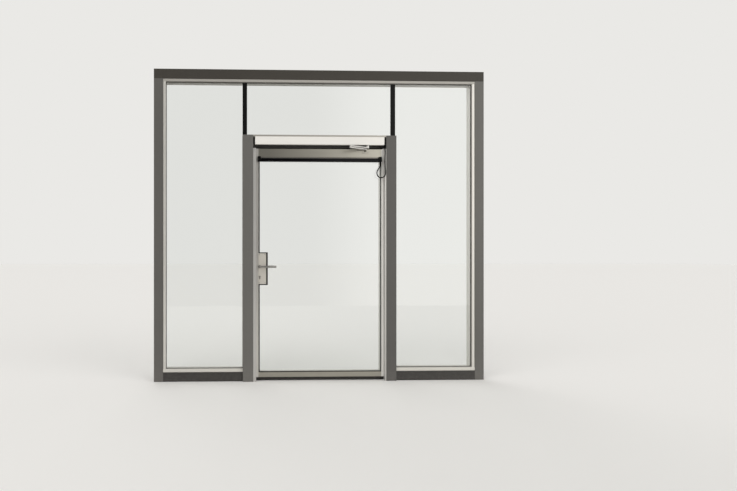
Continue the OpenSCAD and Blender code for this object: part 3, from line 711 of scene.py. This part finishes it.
@dataclass
class DoorCable(SubAssembly):
    """The black cable loop from the header to the sensor bar, with a tapered sleeve at each end."""

    radius: float = 5.0
    quarter_steps: int = 5
    line_steps: int = 8
    turn_from: Point = (-59.75, -50.0, 2180.0)
    turn_to: Point = (-59.75, -50.0, 2012.0)
    route: tuple[Point, ...] = (
        (-57.5, -34, 2238), (-57.5, -34, 2228), (-57.5, -34, 2216), (-57.6, -35.2, 2197), (-57.9, -39, 2174),
        (-58.3, -44.2, 2150), (-58.8, -48.2, 2126), (-59.6, -50, 2100), (-60.7, -50.4, 2070),
        (-61.2, -50.4, 2040), (-61, -50.4, 2010), (-60.3, -50.4, 1980), (-59, -50.2, 1954),
        (-57.4, -49.9, 1931), (-56.3, -49.4, 1910.4), (-61.3, -48, 1891.7), (-75, -45.4, 1877.9),
        (-93.8, -41.6, 1872.9), (-112.5, -37.6, 1877.9), (-126.2, -34.2, 1891.7), (-131.2, -31.6, 1910.4),
        (-130.3, -29.8, 1926.5), (-125.2, -28.3, 1943), (-115.6, -27, 1957.5), (-104.8, -26, 1971),
        (-98.5, -25.5, 1986), (-98.5, -25.5, 1998.5), (-98.5, -25.5, 2011),
    )
    sleeve: Profile = (
        (0, 6.9), (3, 6.9), (3.6, 6.0), (5.0, 6.0), (5.6, 6.5), (8.0, 6.4), (8.6, 5.7), (10.0, 5.7),
        (10.6, 6.2), (13.0, 6.1), (13.6, 5.7), (15.0, 5.7), (15.6, 6.0), (18.0, 5.8), (21.0, 5.3),
    )

    def line(self) -> list[Vector]:
        """Lay the cable's centre line along the route, as a cubic B-spline without kinks.

        Returns:
            The points of the centre line, in metres.
        """
        p = [metres(q) for q in self.route]
        p = [2 * p[0] - p[1], *p, 2 * p[-1] - p[-2]]
        points = []
        for a, b, c, d in zip(p, p[1:], p[2:], p[3:]):
            for k in range(self.line_steps):
                t = k / self.line_steps
                spot = (1 - t) ** 3 * a + (3 * t**3 - 6 * t**2 + 4) * b
                spot += (3 * t + 3 * t**2 - 3 * t**3 + 1) * c
                points.append((spot + t**3 * d) / 6)
        return [*points, p[-2]]

    def tube(self) -> None:
        """Sweep the cable along its line."""
        line = self.line()
        curve = bpy.data.curves.new("door_cable_loop", "CURVE")
        curve.dimensions, curve.use_fill_caps = "3D", True
        curve.bevel_depth, curve.bevel_resolution = self.radius * MM, self.quarter_steps
        spline = curve.splines.new("POLY")
        spline.points.add(len(line) - 1)
        for point, place in zip(spline.points, line):
            point.co = (*place, 1.0)
        obj = bpy.data.objects.new("door_cable_loop", curve)
        bpy.context.scene.collection.objects.link(obj)
        clear_selection()
        obj.select_set(True)
        bpy.context.view_layer.objects.active = obj
        bpy.ops.object.convert(target="MESH")
        obj = bpy.context.object
        bpy.ops.object.shade_smooth_by_angle(angle=math.radians(CABLE_SMOOTH_DEG))
        self.shop.paint(obj, Look.CABLE)
        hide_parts("door_cable")
        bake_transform(obj)

    def build(self) -> None:
        """Make the cable and its sleeves, and dress the upper gland."""
        self.tube()
        for label, foot, body in (("header", self.route[0], "screen"), ("bar", self.route[-1], "leaf")):
            sleeve = Piece.turned(f"{label}_cable_sleeve", foot, Axis.DOWN, self.sleeve)
            self.hand_over(sleeve, body, "cable_black", Look.CABLE)
        self.dress(Look.BLACK, "cable_gland", round_mm=0.5)


@dataclass
class OuterFrame(SubAssembly):
    """Head, jambs and sills, and the sealant under the sills."""

    left_sill: Span = (-2102.5, -1372.5)
    right_sill: Span = (47.5, 791.5)
    bed_y: Span = (-21.0, 83.0)
    bed_z: Span = (0.2, 5.2)
    groove_edge: float = 1.2
    groove_share: float = 0.985

    def build(self) -> None:
        """Dress the frame and lay the sealant."""
        self.dress(Look.HEAD, "head_frame")
        self.dress(Look.JAMB, "left_jamb", "right_jamb")
        self.dress(Look.SILL, "left_sill", "right_sill")
        for name, x in (("left_sill_sealant", self.left_sill), ("right_sill_sealant", self.right_sill)):
            bed = Piece.block(name, x, self.bed_y, self.bed_z)
            bed.faces(lambda c, n: Axis.FRONT.either_way(n)).inset(self.groove_edge).narrow(self.groove_share)
            self.hand_over(bed, "screen", "joint_black", Look.SEAL)


@dataclass
class FixedGlazing(SubAssembly):
    """Panes, beads, gaskets and joint strips of the fixed glass."""

    edge: float = 0.5

    def build(self) -> None:
        """Dress the glazing."""
        self.dress(Look.HEAD_BEAD, "head_bead", "rear_head_bead", round_mm=self.edge)
        self.dress(Look.BEAD_ACROSS, "sill_beads", "rear_sill_beads", round_mm=self.edge)
        self.dress(Look.BEAD_UPRIGHT, "jamb_beads", "rear_jamb_beads", round_mm=self.edge)
        self.dress(Look.RUBBER, "front_gasket", "rear_gasket", round_mm=0)
        self.dress(Look.GLASS, "left_sidelight_glass", "right_sidelight_glass", "overpanel_glass", round_mm=0)
        self.dress(Look.JOINT, "left_glass_joint", "right_glass_joint", round_mm=self.edge)


@dataclass
class DoorFrame(SubAssembly):
    """Posts, header, stops and strike plate."""

    strike_x: float = -1277.5
    strike_y: float = 15.5
    strike_z: Span = (966.0, 1140.0)

    def build(self) -> None:
        """Dress the door frame and screw the strike plate on."""
        self.dress(Look.POST, "lock_post", round_mm=1.0)
        self.dress(Look.HINGE_POST, "hinge_post", round_mm=1.0)
        self.dress(Look.HEADER, "door_header")
        self.dress(Look.STOP, "lock_stop", "hinge_stop")
        self.dress(Look.PALE_SEAL, "stop_seals", round_mm=1.0)
        self.dress(Look.PLATE, "strike_plate", round_mm=0.3)
        places = [(self.strike_x, self.strike_y, z) for z in self.strike_z]
        self.screw_on(Fastener(4.5, 0.8, 2.0, Axis.RIGHT), "strike_screw", places, "screen", "lock_steel")


@dataclass
class Leaf(SubAssembly):
    """Stiles, rails, pane, gasket and seals of the door leaf."""

    gasket_lap: float = 8.0
    gasket_show: tuple[float, float, float] = (12.0, 5.0, 7.0)  # at lock side and top, hinge side and foot
    case_x: Span = (-1240.0, -1156.5)
    case_z: Span = (893.0, 1177.0)
    case_border: Span = (14.0, 9.0)
    overlap: float = 5.0
    through: float = 2.0
    lip: Box = ((-1267.5, -57.5), (12.0, 19.0), (0.8, 9.0))
    lip_taper: float = 0.45
    brush: Box = ((-1272.0, -53.0), (33.0, 39.0), (2141.5, 2160.4))
    brush_taper: float = 0.4

    def gasket(self) -> None:
        """Cut the slim gasket of the pane, which is wider on the lock side and runs round the lock case."""
        x, y, z = ((low / MM, high / MM) for low, high in zip(*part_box("leaf_gasket")))
        lock_show, hinge_show, foot_show = (show + self.gasket_lap for show in self.gasket_show)
        foot, top = z[0] + foot_show, z[1] - lock_show
        room_x = self.case_x[1] + self.case_border[0]
        beside = (x[0] + lock_show, room_x + self.overlap)
        openings = (
            ((room_x, x[1] - hinge_show), (foot, top)),
            (beside, (foot, self.case_z[0] - self.case_border[1])),
            (beside, (self.case_z[1] + self.case_border[1], top)),
            (self.case_x, self.case_z),
        )
        piece = Piece.block("leaf_pane_gasket", x, y, z)
        depth = (y[0] - self.through, y[1] + self.through)
        for k, (across, upright) in enumerate(openings):
            piece.cut(Piece.block(f"gasket_opening_{k}", across, depth, upright))
        piece.round_all(0.4)
        self.hand_over(piece, "leaf", "gasket_black", Look.LEAF_RUBBER, replaces="leaf_gasket")

    def build(self) -> None:
        """Dress the leaf and add its gasket and seals."""
        self.dress(Look.STILE, "lock_stile")
        self.dress(Look.HINGE_STILE, "hinge_stile")
        self.dress(Look.RAIL, "top_rail", "bottom_rail")
        self.dress(Look.BEAD_UPRIGHT, "leaf_rear_bead")
        self.dress(Look.GLASS, "leaf_glass", round_mm=0)
        self.gasket()
        self.dress(Look.SEAL, "drop_seal", round_mm=1.5)
        lip = Piece.block("drop_seal_lip", *self.lip)
        lip.faces(lambda c, n: Axis.DOWN.same_way(n)).narrow(self.lip_taper).round_all(0.8)
        self.hand_over(lip, "leaf", "gasket_black", Look.SEAL)
        brush = Piece.block("leaf_top_seal", *self.brush)
        brush.faces(lambda c, n: Axis.UP.same_way(n)).narrow(self.brush_taper).round_all(0.6)
        self.hand_over(brush, "leaf", "gasket_black", Look.SEAL)


@dataclass
class Hinges(SubAssembly):
    """Three hinges with finials and screws."""

    axis: Span = (-50.0, 51.5)
    heights: tuple[float, ...] = (250.0, 1150.0, 1900.0)
    knuckle: float = 45.5
    plate_y: float = 45.5
    screw_x: Span = (-72.0, -28.0)
    screw_rise: Span = (-11.0, 11.0)
    finial: Profile = ((0, 8.0), (0.6, 8.6), (2.6, 8.6), (3.6, 7.8), (4.4, 5.5), (4.7, 2.0))

    def build(self) -> None:
        """Dress the hinges and add what closes and holds them."""
        self.dress(Look.PLATE, "frame_hinges", "leaf_hinges", round_mm=0.4)
        leaf = ("leaf", "leaf", self.screw_x[0], -1, Axis.DOWN)
        post = ("post", "screen", self.screw_x[1], 1, Axis.UP)
        for k, z in enumerate(self.heights, start=1):
            for label, body, _, side, axis in (post, leaf):
                foot = (*self.axis, z + side * self.knuckle)
                finial = Piece.turned(f"hinge_finial_{label}_{k}", foot, axis, self.finial)
                self.hand_over(finial, body, "lock_steel", Look.PLATE)
        screw = Fastener(4.2, 1.0, 2.0, Axis.REAR)
        for label, body, x, side, _ in (leaf, post):
            middles = [z + side * self.knuckle / 2 for z in self.heights]
            places = [(x, self.plate_y, z + rise) for z in middles for rise in self.screw_rise]
            self.screw_on(screw, f"hinge_screw_{label}", places, body, "lock_steel")


@dataclass(frozen=True)
class Side:
    """One side of the leaf: where it looks, and where the lock case and the leaf end."""

    label: str
    axis: Axis
    case_y: float
    leaf_y: float

    @property
    def way(self) -> float:
        """Give -1 for the front and 1 for the rear."""
        return self.axis.value[1]


@dataclass
class LockSet(SubAssembly):
    """Lock case with cover plates, cylinder, forend and the two levers."""

    sides: tuple[Side, ...] = (
        Side("outside", Axis.FRONT, case_y=-13.0, leaf_y=-11.5),
        Side("inside", Axis.REAR, case_y=44.0, leaf_y=42.5),
    )
    plate_x: Span = (-1228.0, -1156.5)
    plate_t: Span = (-0.2, 1.2)
    plate_z: Span = (893.5, 1176.5)
    plate_border: float = 0.9
    lever_at: Span = (-1214.5, 1053.0)
    lever_r: float = 10.0
    lever_root: float = 4.0
    lever_off: float = 46.0
    lever_bend: float = 16.0
    lever_len: float = 147.0
    lever_tip: float = 1.6
    bend_steps: int = 12
    sides_round: int = 40
    rose: Profile = ((-0.4, 14.5), (1.6, 14.5), (2.4, 13.8), (2.8, 12.4), (2.8, 10.2))
    cylinder_z: float = 961.0
    plug: Profile = ((-0.4, 8.5), (1.6, 8.5), (2.0, 8.1), (2.0, 7.0), (1.4, 6.8))
    slot: Box = ((-0.9, 0.9), (0.4, 4.0), (-4.5, 4.5))
    tail: Box = ((-5.0, 5.0), (-0.4, 1.8), (-24.0, -6.5))
    tail_round: float = 4.6
    screw_x: Span = (-1220.5, -1166.0)
    screw_z: Span = (905.0, 1164.0)
    lip: Box = ((-1147.6, -1140.0), (-8.4, -4.7), (884.5, 1185.5))
    forend_x: float = -1272.5
    forend: Box = ((-0.6, 0.5), (5.5, 25.5), (935.0, 1170.0))
    forend_round: float = 5.0
    forend_screw_z: Span = (944.0, 1161.0)
    latch: Box = ((-1.8, 0.5), (9.5, 21.5), (-13.0, 13.0))
    latch_slope: float = 1.6

    def add_plate(self, side: Side) -> None:
        """Lay a cover plate over the lock case.

        Args:
            side: The side of the leaf.
        """
        depth = reach(self.plate_t, side.case_y, side.way)
        plate = Piece.block(f"{side.label}_cover_plate", self.plate_x, depth, self.plate_z)
        plate.faces(lambda c, n: side.axis.same_way(n)).inset(self.plate_border)
        self.hand_over(plate.round_all(0.5), "leaf", "lock_steel", Look.PLATE)

    def add_lever(self, side: Side) -> None:
        """Make a lever with its neck, bend and bar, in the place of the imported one.

        Args:
            side: The side of the leaf.
        """
        x, z = self.lever_at
        neck, bar = self.lever_off - self.lever_bend, self.lever_len - self.lever_bend
        end_x, end_y = x + self.lever_bend, side.leaf_y + side.way * neck
        profile = ((-self.lever_root, self.lever_r), (neck, self.lever_r))
        foot = (x, side.leaf_y, z)
        lever = Piece.turned(f"{side.label}_lever_handle", foot, side.axis, profile, self.sides_round)
        lever.faces(lambda c, n: abs(c.y - end_y) < TOUCH)
        turn, centre = side.way * math.pi / 2, metres((end_x, end_y, z))
        bpy.ops.mesh.spin(steps=self.bend_steps, angle=turn, center=centre, axis=Axis.UP.value)
        lever.faces(lambda c, n: abs(c.x - end_x) < 2 * TOUCH and Axis.RIGHT.either_way(n))
        bpy.ops.mesh.extrude_region_move(TRANSFORM_OT_translate={"value": metres((bar, 0, 0))})
        lever.edges(lambda c, d: c.x > end_x + bar - TOUCH and abs(d.x) < 1 - SQUARE).bevel(self.lever_tip)
        self.hand_over(lever, "lever", "lock_steel", Look.STEEL, replaces=f"{side.label}_lever")

    def add_cylinder(self, side: Side, face: float) -> None:
        """Make the profile cylinder with its key slot and its tail.

        Args:
            side: The side of the leaf.
            face: The face of the cover plate.
        """
        name, x, z = f"{side.label}_cylinder", self.lever_at[0], self.cylinder_z
        plug = Piece.turned(name, (x, face, z), side.axis, self.plug)
        low_y, high_y = sorted((face, face + side.way * self.slot[1][1]))
        depth = (low_y + self.slot[1][0], high_y)
        plug.cut(Piece.block("slot", reach(self.slot[0], x), depth, reach(self.slot[2], z)))
        self.hand_over(plug, "leaf", "lock_steel", Look.SCREW)
        depth, upright = reach(self.tail[1], face, side.way), reach(self.tail[2], z)
        tail = Piece.block(f"{name}_tail", reach(self.tail[0], x), depth, upright)
        tail.edges(lambda c, d: Axis.REAR.either_way(d) and c.z < upright[0] + TOUCH)
        self.hand_over(tail.bevel(self.tail_round, 6).round_all(0.3), "leaf", "lock_steel", Look.SCREW)

    def add_forend(self) -> None:
        """Set the forend in the leaf's edge, with the latch drawn in."""
        x, (thick, depth, upright) = self.forend_x, self.forend
        middle = sum(depth) / 2
        plate = Piece.block("lock_forend", reach(thick, x), depth, upright)
        plate.edges(lambda c, d: Axis.RIGHT.either_way(d)).bevel(self.forend_round, 5)
        self.hand_over(plate.round_all(0.2), "leaf", "lock_steel", Look.PLATE)
        thick_latch, depth, upright = self.latch
        latch = Piece.block("lock_latch", reach(thick_latch, x), depth, reach(upright, self.lever_at[1]))
        latch.edges(lambda c, d: Axis.UP.either_way(d) and c.x < x and c.y > middle)
        self.hand_over(latch.bevel(self.latch_slope, 1).round_all(0.3), "leaf", "lock_steel", Look.STEEL)
        places = [(x + thick[0], middle, z) for z in self.forend_screw_z]
        self.screw_on(Fastener(3.6, 0.7, 1.8, Axis.LEFT), "forend_screw", places, "leaf", "lock_steel")

    def build(self) -> None:
        """Dress the case and add the furniture on both sides."""
        # painted shadow: the case is near black so its edges read as shadow lines round the cover plates
        self.dress(Look.LOCK_EDGE, "lock_case", round_mm=0.4)
        x, z = self.lever_at
        for side in self.sides:
            label, axis = side.label, side.axis
            face = side.case_y + side.way * self.plate_t[1]
            self.add_plate(side)
            self.add_lever(side)
            rose = Piece.turned(f"{label}_lever_rose", (x, face, z), axis, self.rose, self.sides_round)
            self.hand_over(rose, "leaf", "lock_steel", Look.STEEL)
            self.add_cylinder(side, face)
            places = [(sx, face, sz) for sx in self.screw_x for sz in self.screw_z]
            screw = Fastener(3.8, 0.9, 1.8, axis)
            self.screw_on(screw, f"{label}_plate_screw", places, "leaf", "lock_steel")
        lip = Piece.block("lock_gasket_lip", *self.lip)
        self.hand_over(lip.round_all(0.8), "leaf", "gasket_black", Look.LOCK_EDGE)
        self.add_forend()


@dataclass
class Operator(SubAssembly):
    """Chassis and white cover of the door operator, with end caps and infills beside it."""

    cover_x: Span = (-1257.5, -67.5)
    cover_y: Span = (-45.5, -15.5)
    cover_z: Span = (2175.5, 2248.0)
    cover_edge: float = 1.6
    cap_t: Span = (-0.1, 2.0)
    infill: Box = ((0.0, 20.0), (28.0, 41.0), (2161.5, 2248.0))
    screw_y: float = 42.5
    screw_z: float = 2206.0
    screw_x: tuple[float, ...] = (-1200.0, -850.0, -475.0, -125.0)

    def build(self) -> None:
        """Dress the operator, close its ends and screw it on."""
        self.dress(Look.CHASSIS, "operator_chassis", round_mm=0.4)
        self.dress(Look.COVER, "operator_cover", round_mm=self.cover_edge)
        ends = (("left", self.cover_x[0], -1), ("right", self.cover_x[1], 1))
        middle = sum(self.cover_y) / 2
        for label, x, way in ends:
            cap = Piece.block(f"cover_cap_{label}", reach(self.cap_t, x, way), self.cover_y, self.cover_z)
            cap.edges(lambda c, d: Axis.RIGHT.either_way(d) and c.y < middle).bevel(self.cover_edge)
            self.hand_over(cap.round_all(0.5), "screen", "cover_white", Look.COVER)
        thick, *rest = self.infill
        for label, x, way in ends:
            infill = Piece.block(f"chassis_infill_{label}", reach(thick, x, way), *rest)
            self.hand_over(infill.round_all(0.5), "screen", "chassis_dark", Look.CHASSIS)
        places = [(x, self.screw_y, self.screw_z) for x in self.screw_x]
        self.screw_on(Fastener(4.5, 1.8, 2.4, Axis.REAR), "chassis_screw", places, "screen", "chassis_dark")


@dataclass
class Linkage(SubAssembly):
    """Drive arm, link and shoe, with caps on their pivots."""

    spindle: Point = (-215.0, -27.5, 2146.0)
    elbow: Span = (-397.26, -104.86)
    elbow_z: Span = (2134.0, 2156.0)
    shoe_pin: Point = (-232.26, -25.86, 2120.0)
    screw_dx: Span = (-21.5, 21.5)
    screw_y: float = -15.5
    screw_z: float = 2112.0
    button: Profile = ((-0.3, 7.5), (1.0, 7.5), (2.2, 6.6), (2.8, 4.6), (3.0, 3.0), (1.6, 2.8))

    def build(self) -> None:
        """Dress the arms, cap their pivots and screw the shoe on."""
        self.dress(Look.ARM, "drive_arm", "link_arm", round_mm=0.8)
        self.dress(Look.RAIL, "arm_shoe", round_mm=0.8)
        for name, foot, axis, body in (
            ("elbow_cap_top", (*self.elbow, self.elbow_z[1]), Axis.UP, "arm"),
            ("elbow_cap_low", (*self.elbow, self.elbow_z[0]), Axis.DOWN, "link"),
            ("spindle_cap", self.spindle, Axis.DOWN, "arm"),
            ("shoe_pin_cap", self.shoe_pin, Axis.DOWN, "leaf"),
        ):
            self.hand_over(Piece.turned(name, foot, axis, self.button), body, "arm_silver", Look.SCREW)
        places = [(x, self.screw_y, self.screw_z) for x in reach(self.screw_dx, self.shoe_pin[0])]
        self.screw_on(Fastener(4.0, 1.6, 2.2, Axis.FRONT), "shoe_screw", places, "leaf", "arm_silver")


@dataclass
class SensorBar(SubAssembly):
    """Sensor bar across the leaf, with its lens and the screws of its end caps."""

    lens: Box = ((-1204.0, -115.0), (-40.3, -39.0), (2029.0, 2044.0))
    lens_round: float = 3.0
    screw_x: Span = (-1220.5, -98.5)
    screw_y: float = -40.5
    screw_z: float = 2058.0

    def build(self) -> None:
        """Dress the bar, add its lens and screw its end caps on."""
        self.dress(Look.BLACK, "sensor_bar", "sensor_end_caps", round_mm=0.6)
        self.dress(Look.STRIP, "sensor_strip", round_mm=0.4)
        lens = Piece.block("sensor_lens", *self.lens)
        lens.edges(lambda c, d: Axis.FRONT.either_way(d)).bevel(self.lens_round, 4)
        self.hand_over(lens.round_all(0.4), "leaf", "sensor_black", Look.LENS)
        places = [(x, self.screw_y, self.screw_z) for x in self.screw_x]
        screw = Fastener(2.8, 0.5, 1.4, Axis.FRONT)
        self.screw_on(screw, "bar_cap_screw", places, "leaf", "sensor_black", Look.BLACK)


# Studio


@dataclass(frozen=True)
class Studio:
    """Plain pale floor, soft light and the camera of the photograph, in metres."""

    camera_at: Point = (-1.6645, -4.566, 1.140)
    yaw_deg: float = 1.6
    lens_mm: float = 24.18
    shift: Span = (0.195, 0.016)
    far_end: float = 200.0
    floor_at: Point = (-0.65, 0.0, -0.0005)
    floor_size: float = 160.0
    floor_rgb: Colour = (240, 238, 234)
    backdrop_rgb: Colour = (234, 233, 230)
    world_strength: float = 0.52
    softness_deg: float = 50.0
    suns: tuple[tuple[str, Point, float], ...] = (
        ("key_sun", (0.62, 0.75, -0.55), 1.25),
        ("fill_sun", (-0.8, 0.7, -0.5), 0.75),
        ("back_sun", (0.2, -0.9, -0.5), 0.75),
    )
    card_at: Point = (1.0, -7.0, 4.0)
    card_size: Point = (16.0, 9.0, 1.0)
    card_x: Span = (0.5, 2.4)
    card_light: Span = (0.05, 2.4)

    def camera(self) -> None:
        """Set the camera up."""
        data = bpy.data.cameras.new("camera")
        camera = bpy.data.objects.new("camera", data)
        bpy.context.scene.collection.objects.link(camera)
        camera.location = self.camera_at
        camera.rotation_euler = (math.radians(90), 0, -math.radians(self.yaw_deg))
        data.lens, data.clip_end = self.lens_mm, self.far_end
        data.shift_x, data.shift_y = self.shift
        bpy.context.scene.camera = camera
        bpy.context.scene.view_settings.view_transform = "Standard"

    def world(self) -> None:
        """Light from all sides, and a pale background for what the camera, metal and glass see."""
        world = bpy.data.worlds.new("world")
        world.use_nodes = True
        bpy.context.scene.world = world
        sheet = Sheet(world.node_tree)
        path = sheet.add("ShaderNodeLightPath")
        seen = sheet.maths("MAXIMUM", path.outputs["Is Camera Ray"], path.outputs["Is Transmission Ray"])
        seen = sheet.maths("MAXIMUM", seen, path.outputs["Is Glossy Ray"])
        soft = {"Color": (1.0, 1.0, 1.0, 1.0), "Strength": self.world_strength}
        pale = {"Color": linear(self.backdrop_rgb), "Strength": 1.0}
        both = [sheet.add("ShaderNodeBackground", values).outputs[0] for values in (soft, pale)]
        mix = sheet.add("ShaderNodeMixShader", {0: seen, 1: both[0], 2: both[1]})
        sheet.add("ShaderNodeOutputWorld", {"Surface": mix.outputs[0]})

    def lamps(self) -> None:
        """Add very soft suns, which light near and far floor alike and which no pane mirrors."""
        for name, towards, strength in self.suns:
            data = bpy.data.lights.new(name, "SUN")
            data.angle, data.energy = math.radians(self.softness_deg), strength
            lamp = bpy.data.objects.new(name, data)
            bpy.context.scene.collection.objects.link(lamp)
            lamp.visible_glossy = lamp.visible_transmission = False
            lamp.rotation_euler = Vector(towards).to_track_quat("-Z", "Y").to_euler()

    def floor(self) -> None:
        """Lay a large pale floor."""
        clear_selection()
        bpy.ops.mesh.primitive_plane_add(size=self.floor_size, location=self.floor_at)
        floor = bpy.context.object
        floor.name = "floor"
        material, sheet = start_material("floor_pale")
        values = {"Base Color": linear(self.floor_rgb), "Roughness": 0.6, "Specular IOR Level": 0.0}
        shader = sheet.add("ShaderNodeBsdfPrincipled", values)
        sheet.add("ShaderNodeOutputMaterial", {"Surface": shader.outputs[0]})
        floor.data.materials.append(material)

    def card(self) -> None:
        """Hang a card behind the camera for metal to mirror, dim at the left and bright at the right."""
        clear_selection()
        upright = (math.radians(90), 0, 0)
        bpy.ops.mesh.primitive_plane_add(size=1.0, location=self.card_at, rotation=upright)
        card = bpy.context.object
        card.scale = self.card_size
        card.name = "reflector_card"
        bpy.ops.object.transform_apply(location=True, rotation=True, scale=True)
        material, sheet = start_material("card_light")
        place = sheet.add("ShaderNodeTexCoord").outputs["Object"]
        along = sheet.add("ShaderNodeSeparateXYZ", {0: place}).outputs["X"]
        level = sheet.spread(along, self.card_x, self.card_light, interpolation_type="SMOOTHSTEP")
        glow = sheet.add("ShaderNodeEmission", {"Color": linear(self.backdrop_rgb), "Strength": level})
        sheet.add("ShaderNodeOutputMaterial", {"Surface": glow.outputs[0]})
        card.data.materials.append(material)
        card.visible_camera = card.visible_diffuse = card.visible_transmission = card.visible_shadow = False

    def build(self) -> None:
        """Set up world, card, lamps and floor."""
        self.world()
        self.card()
        self.lamps()
        self.floor()


def main() -> None:
    """Build the screen in order."""
    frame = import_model()
    studio = Studio()
    studio.camera()
    shop = Shop(frame["nodes"])
    for kind in (
        DoorCable, OuterFrame, FixedGlazing, DoorFrame, Leaf, Hinges, LockSet, Operator, Linkage, SensorBar
    ):
        kind(shop).build()
    studio.build()


if __name__ == "__main__":
    main()
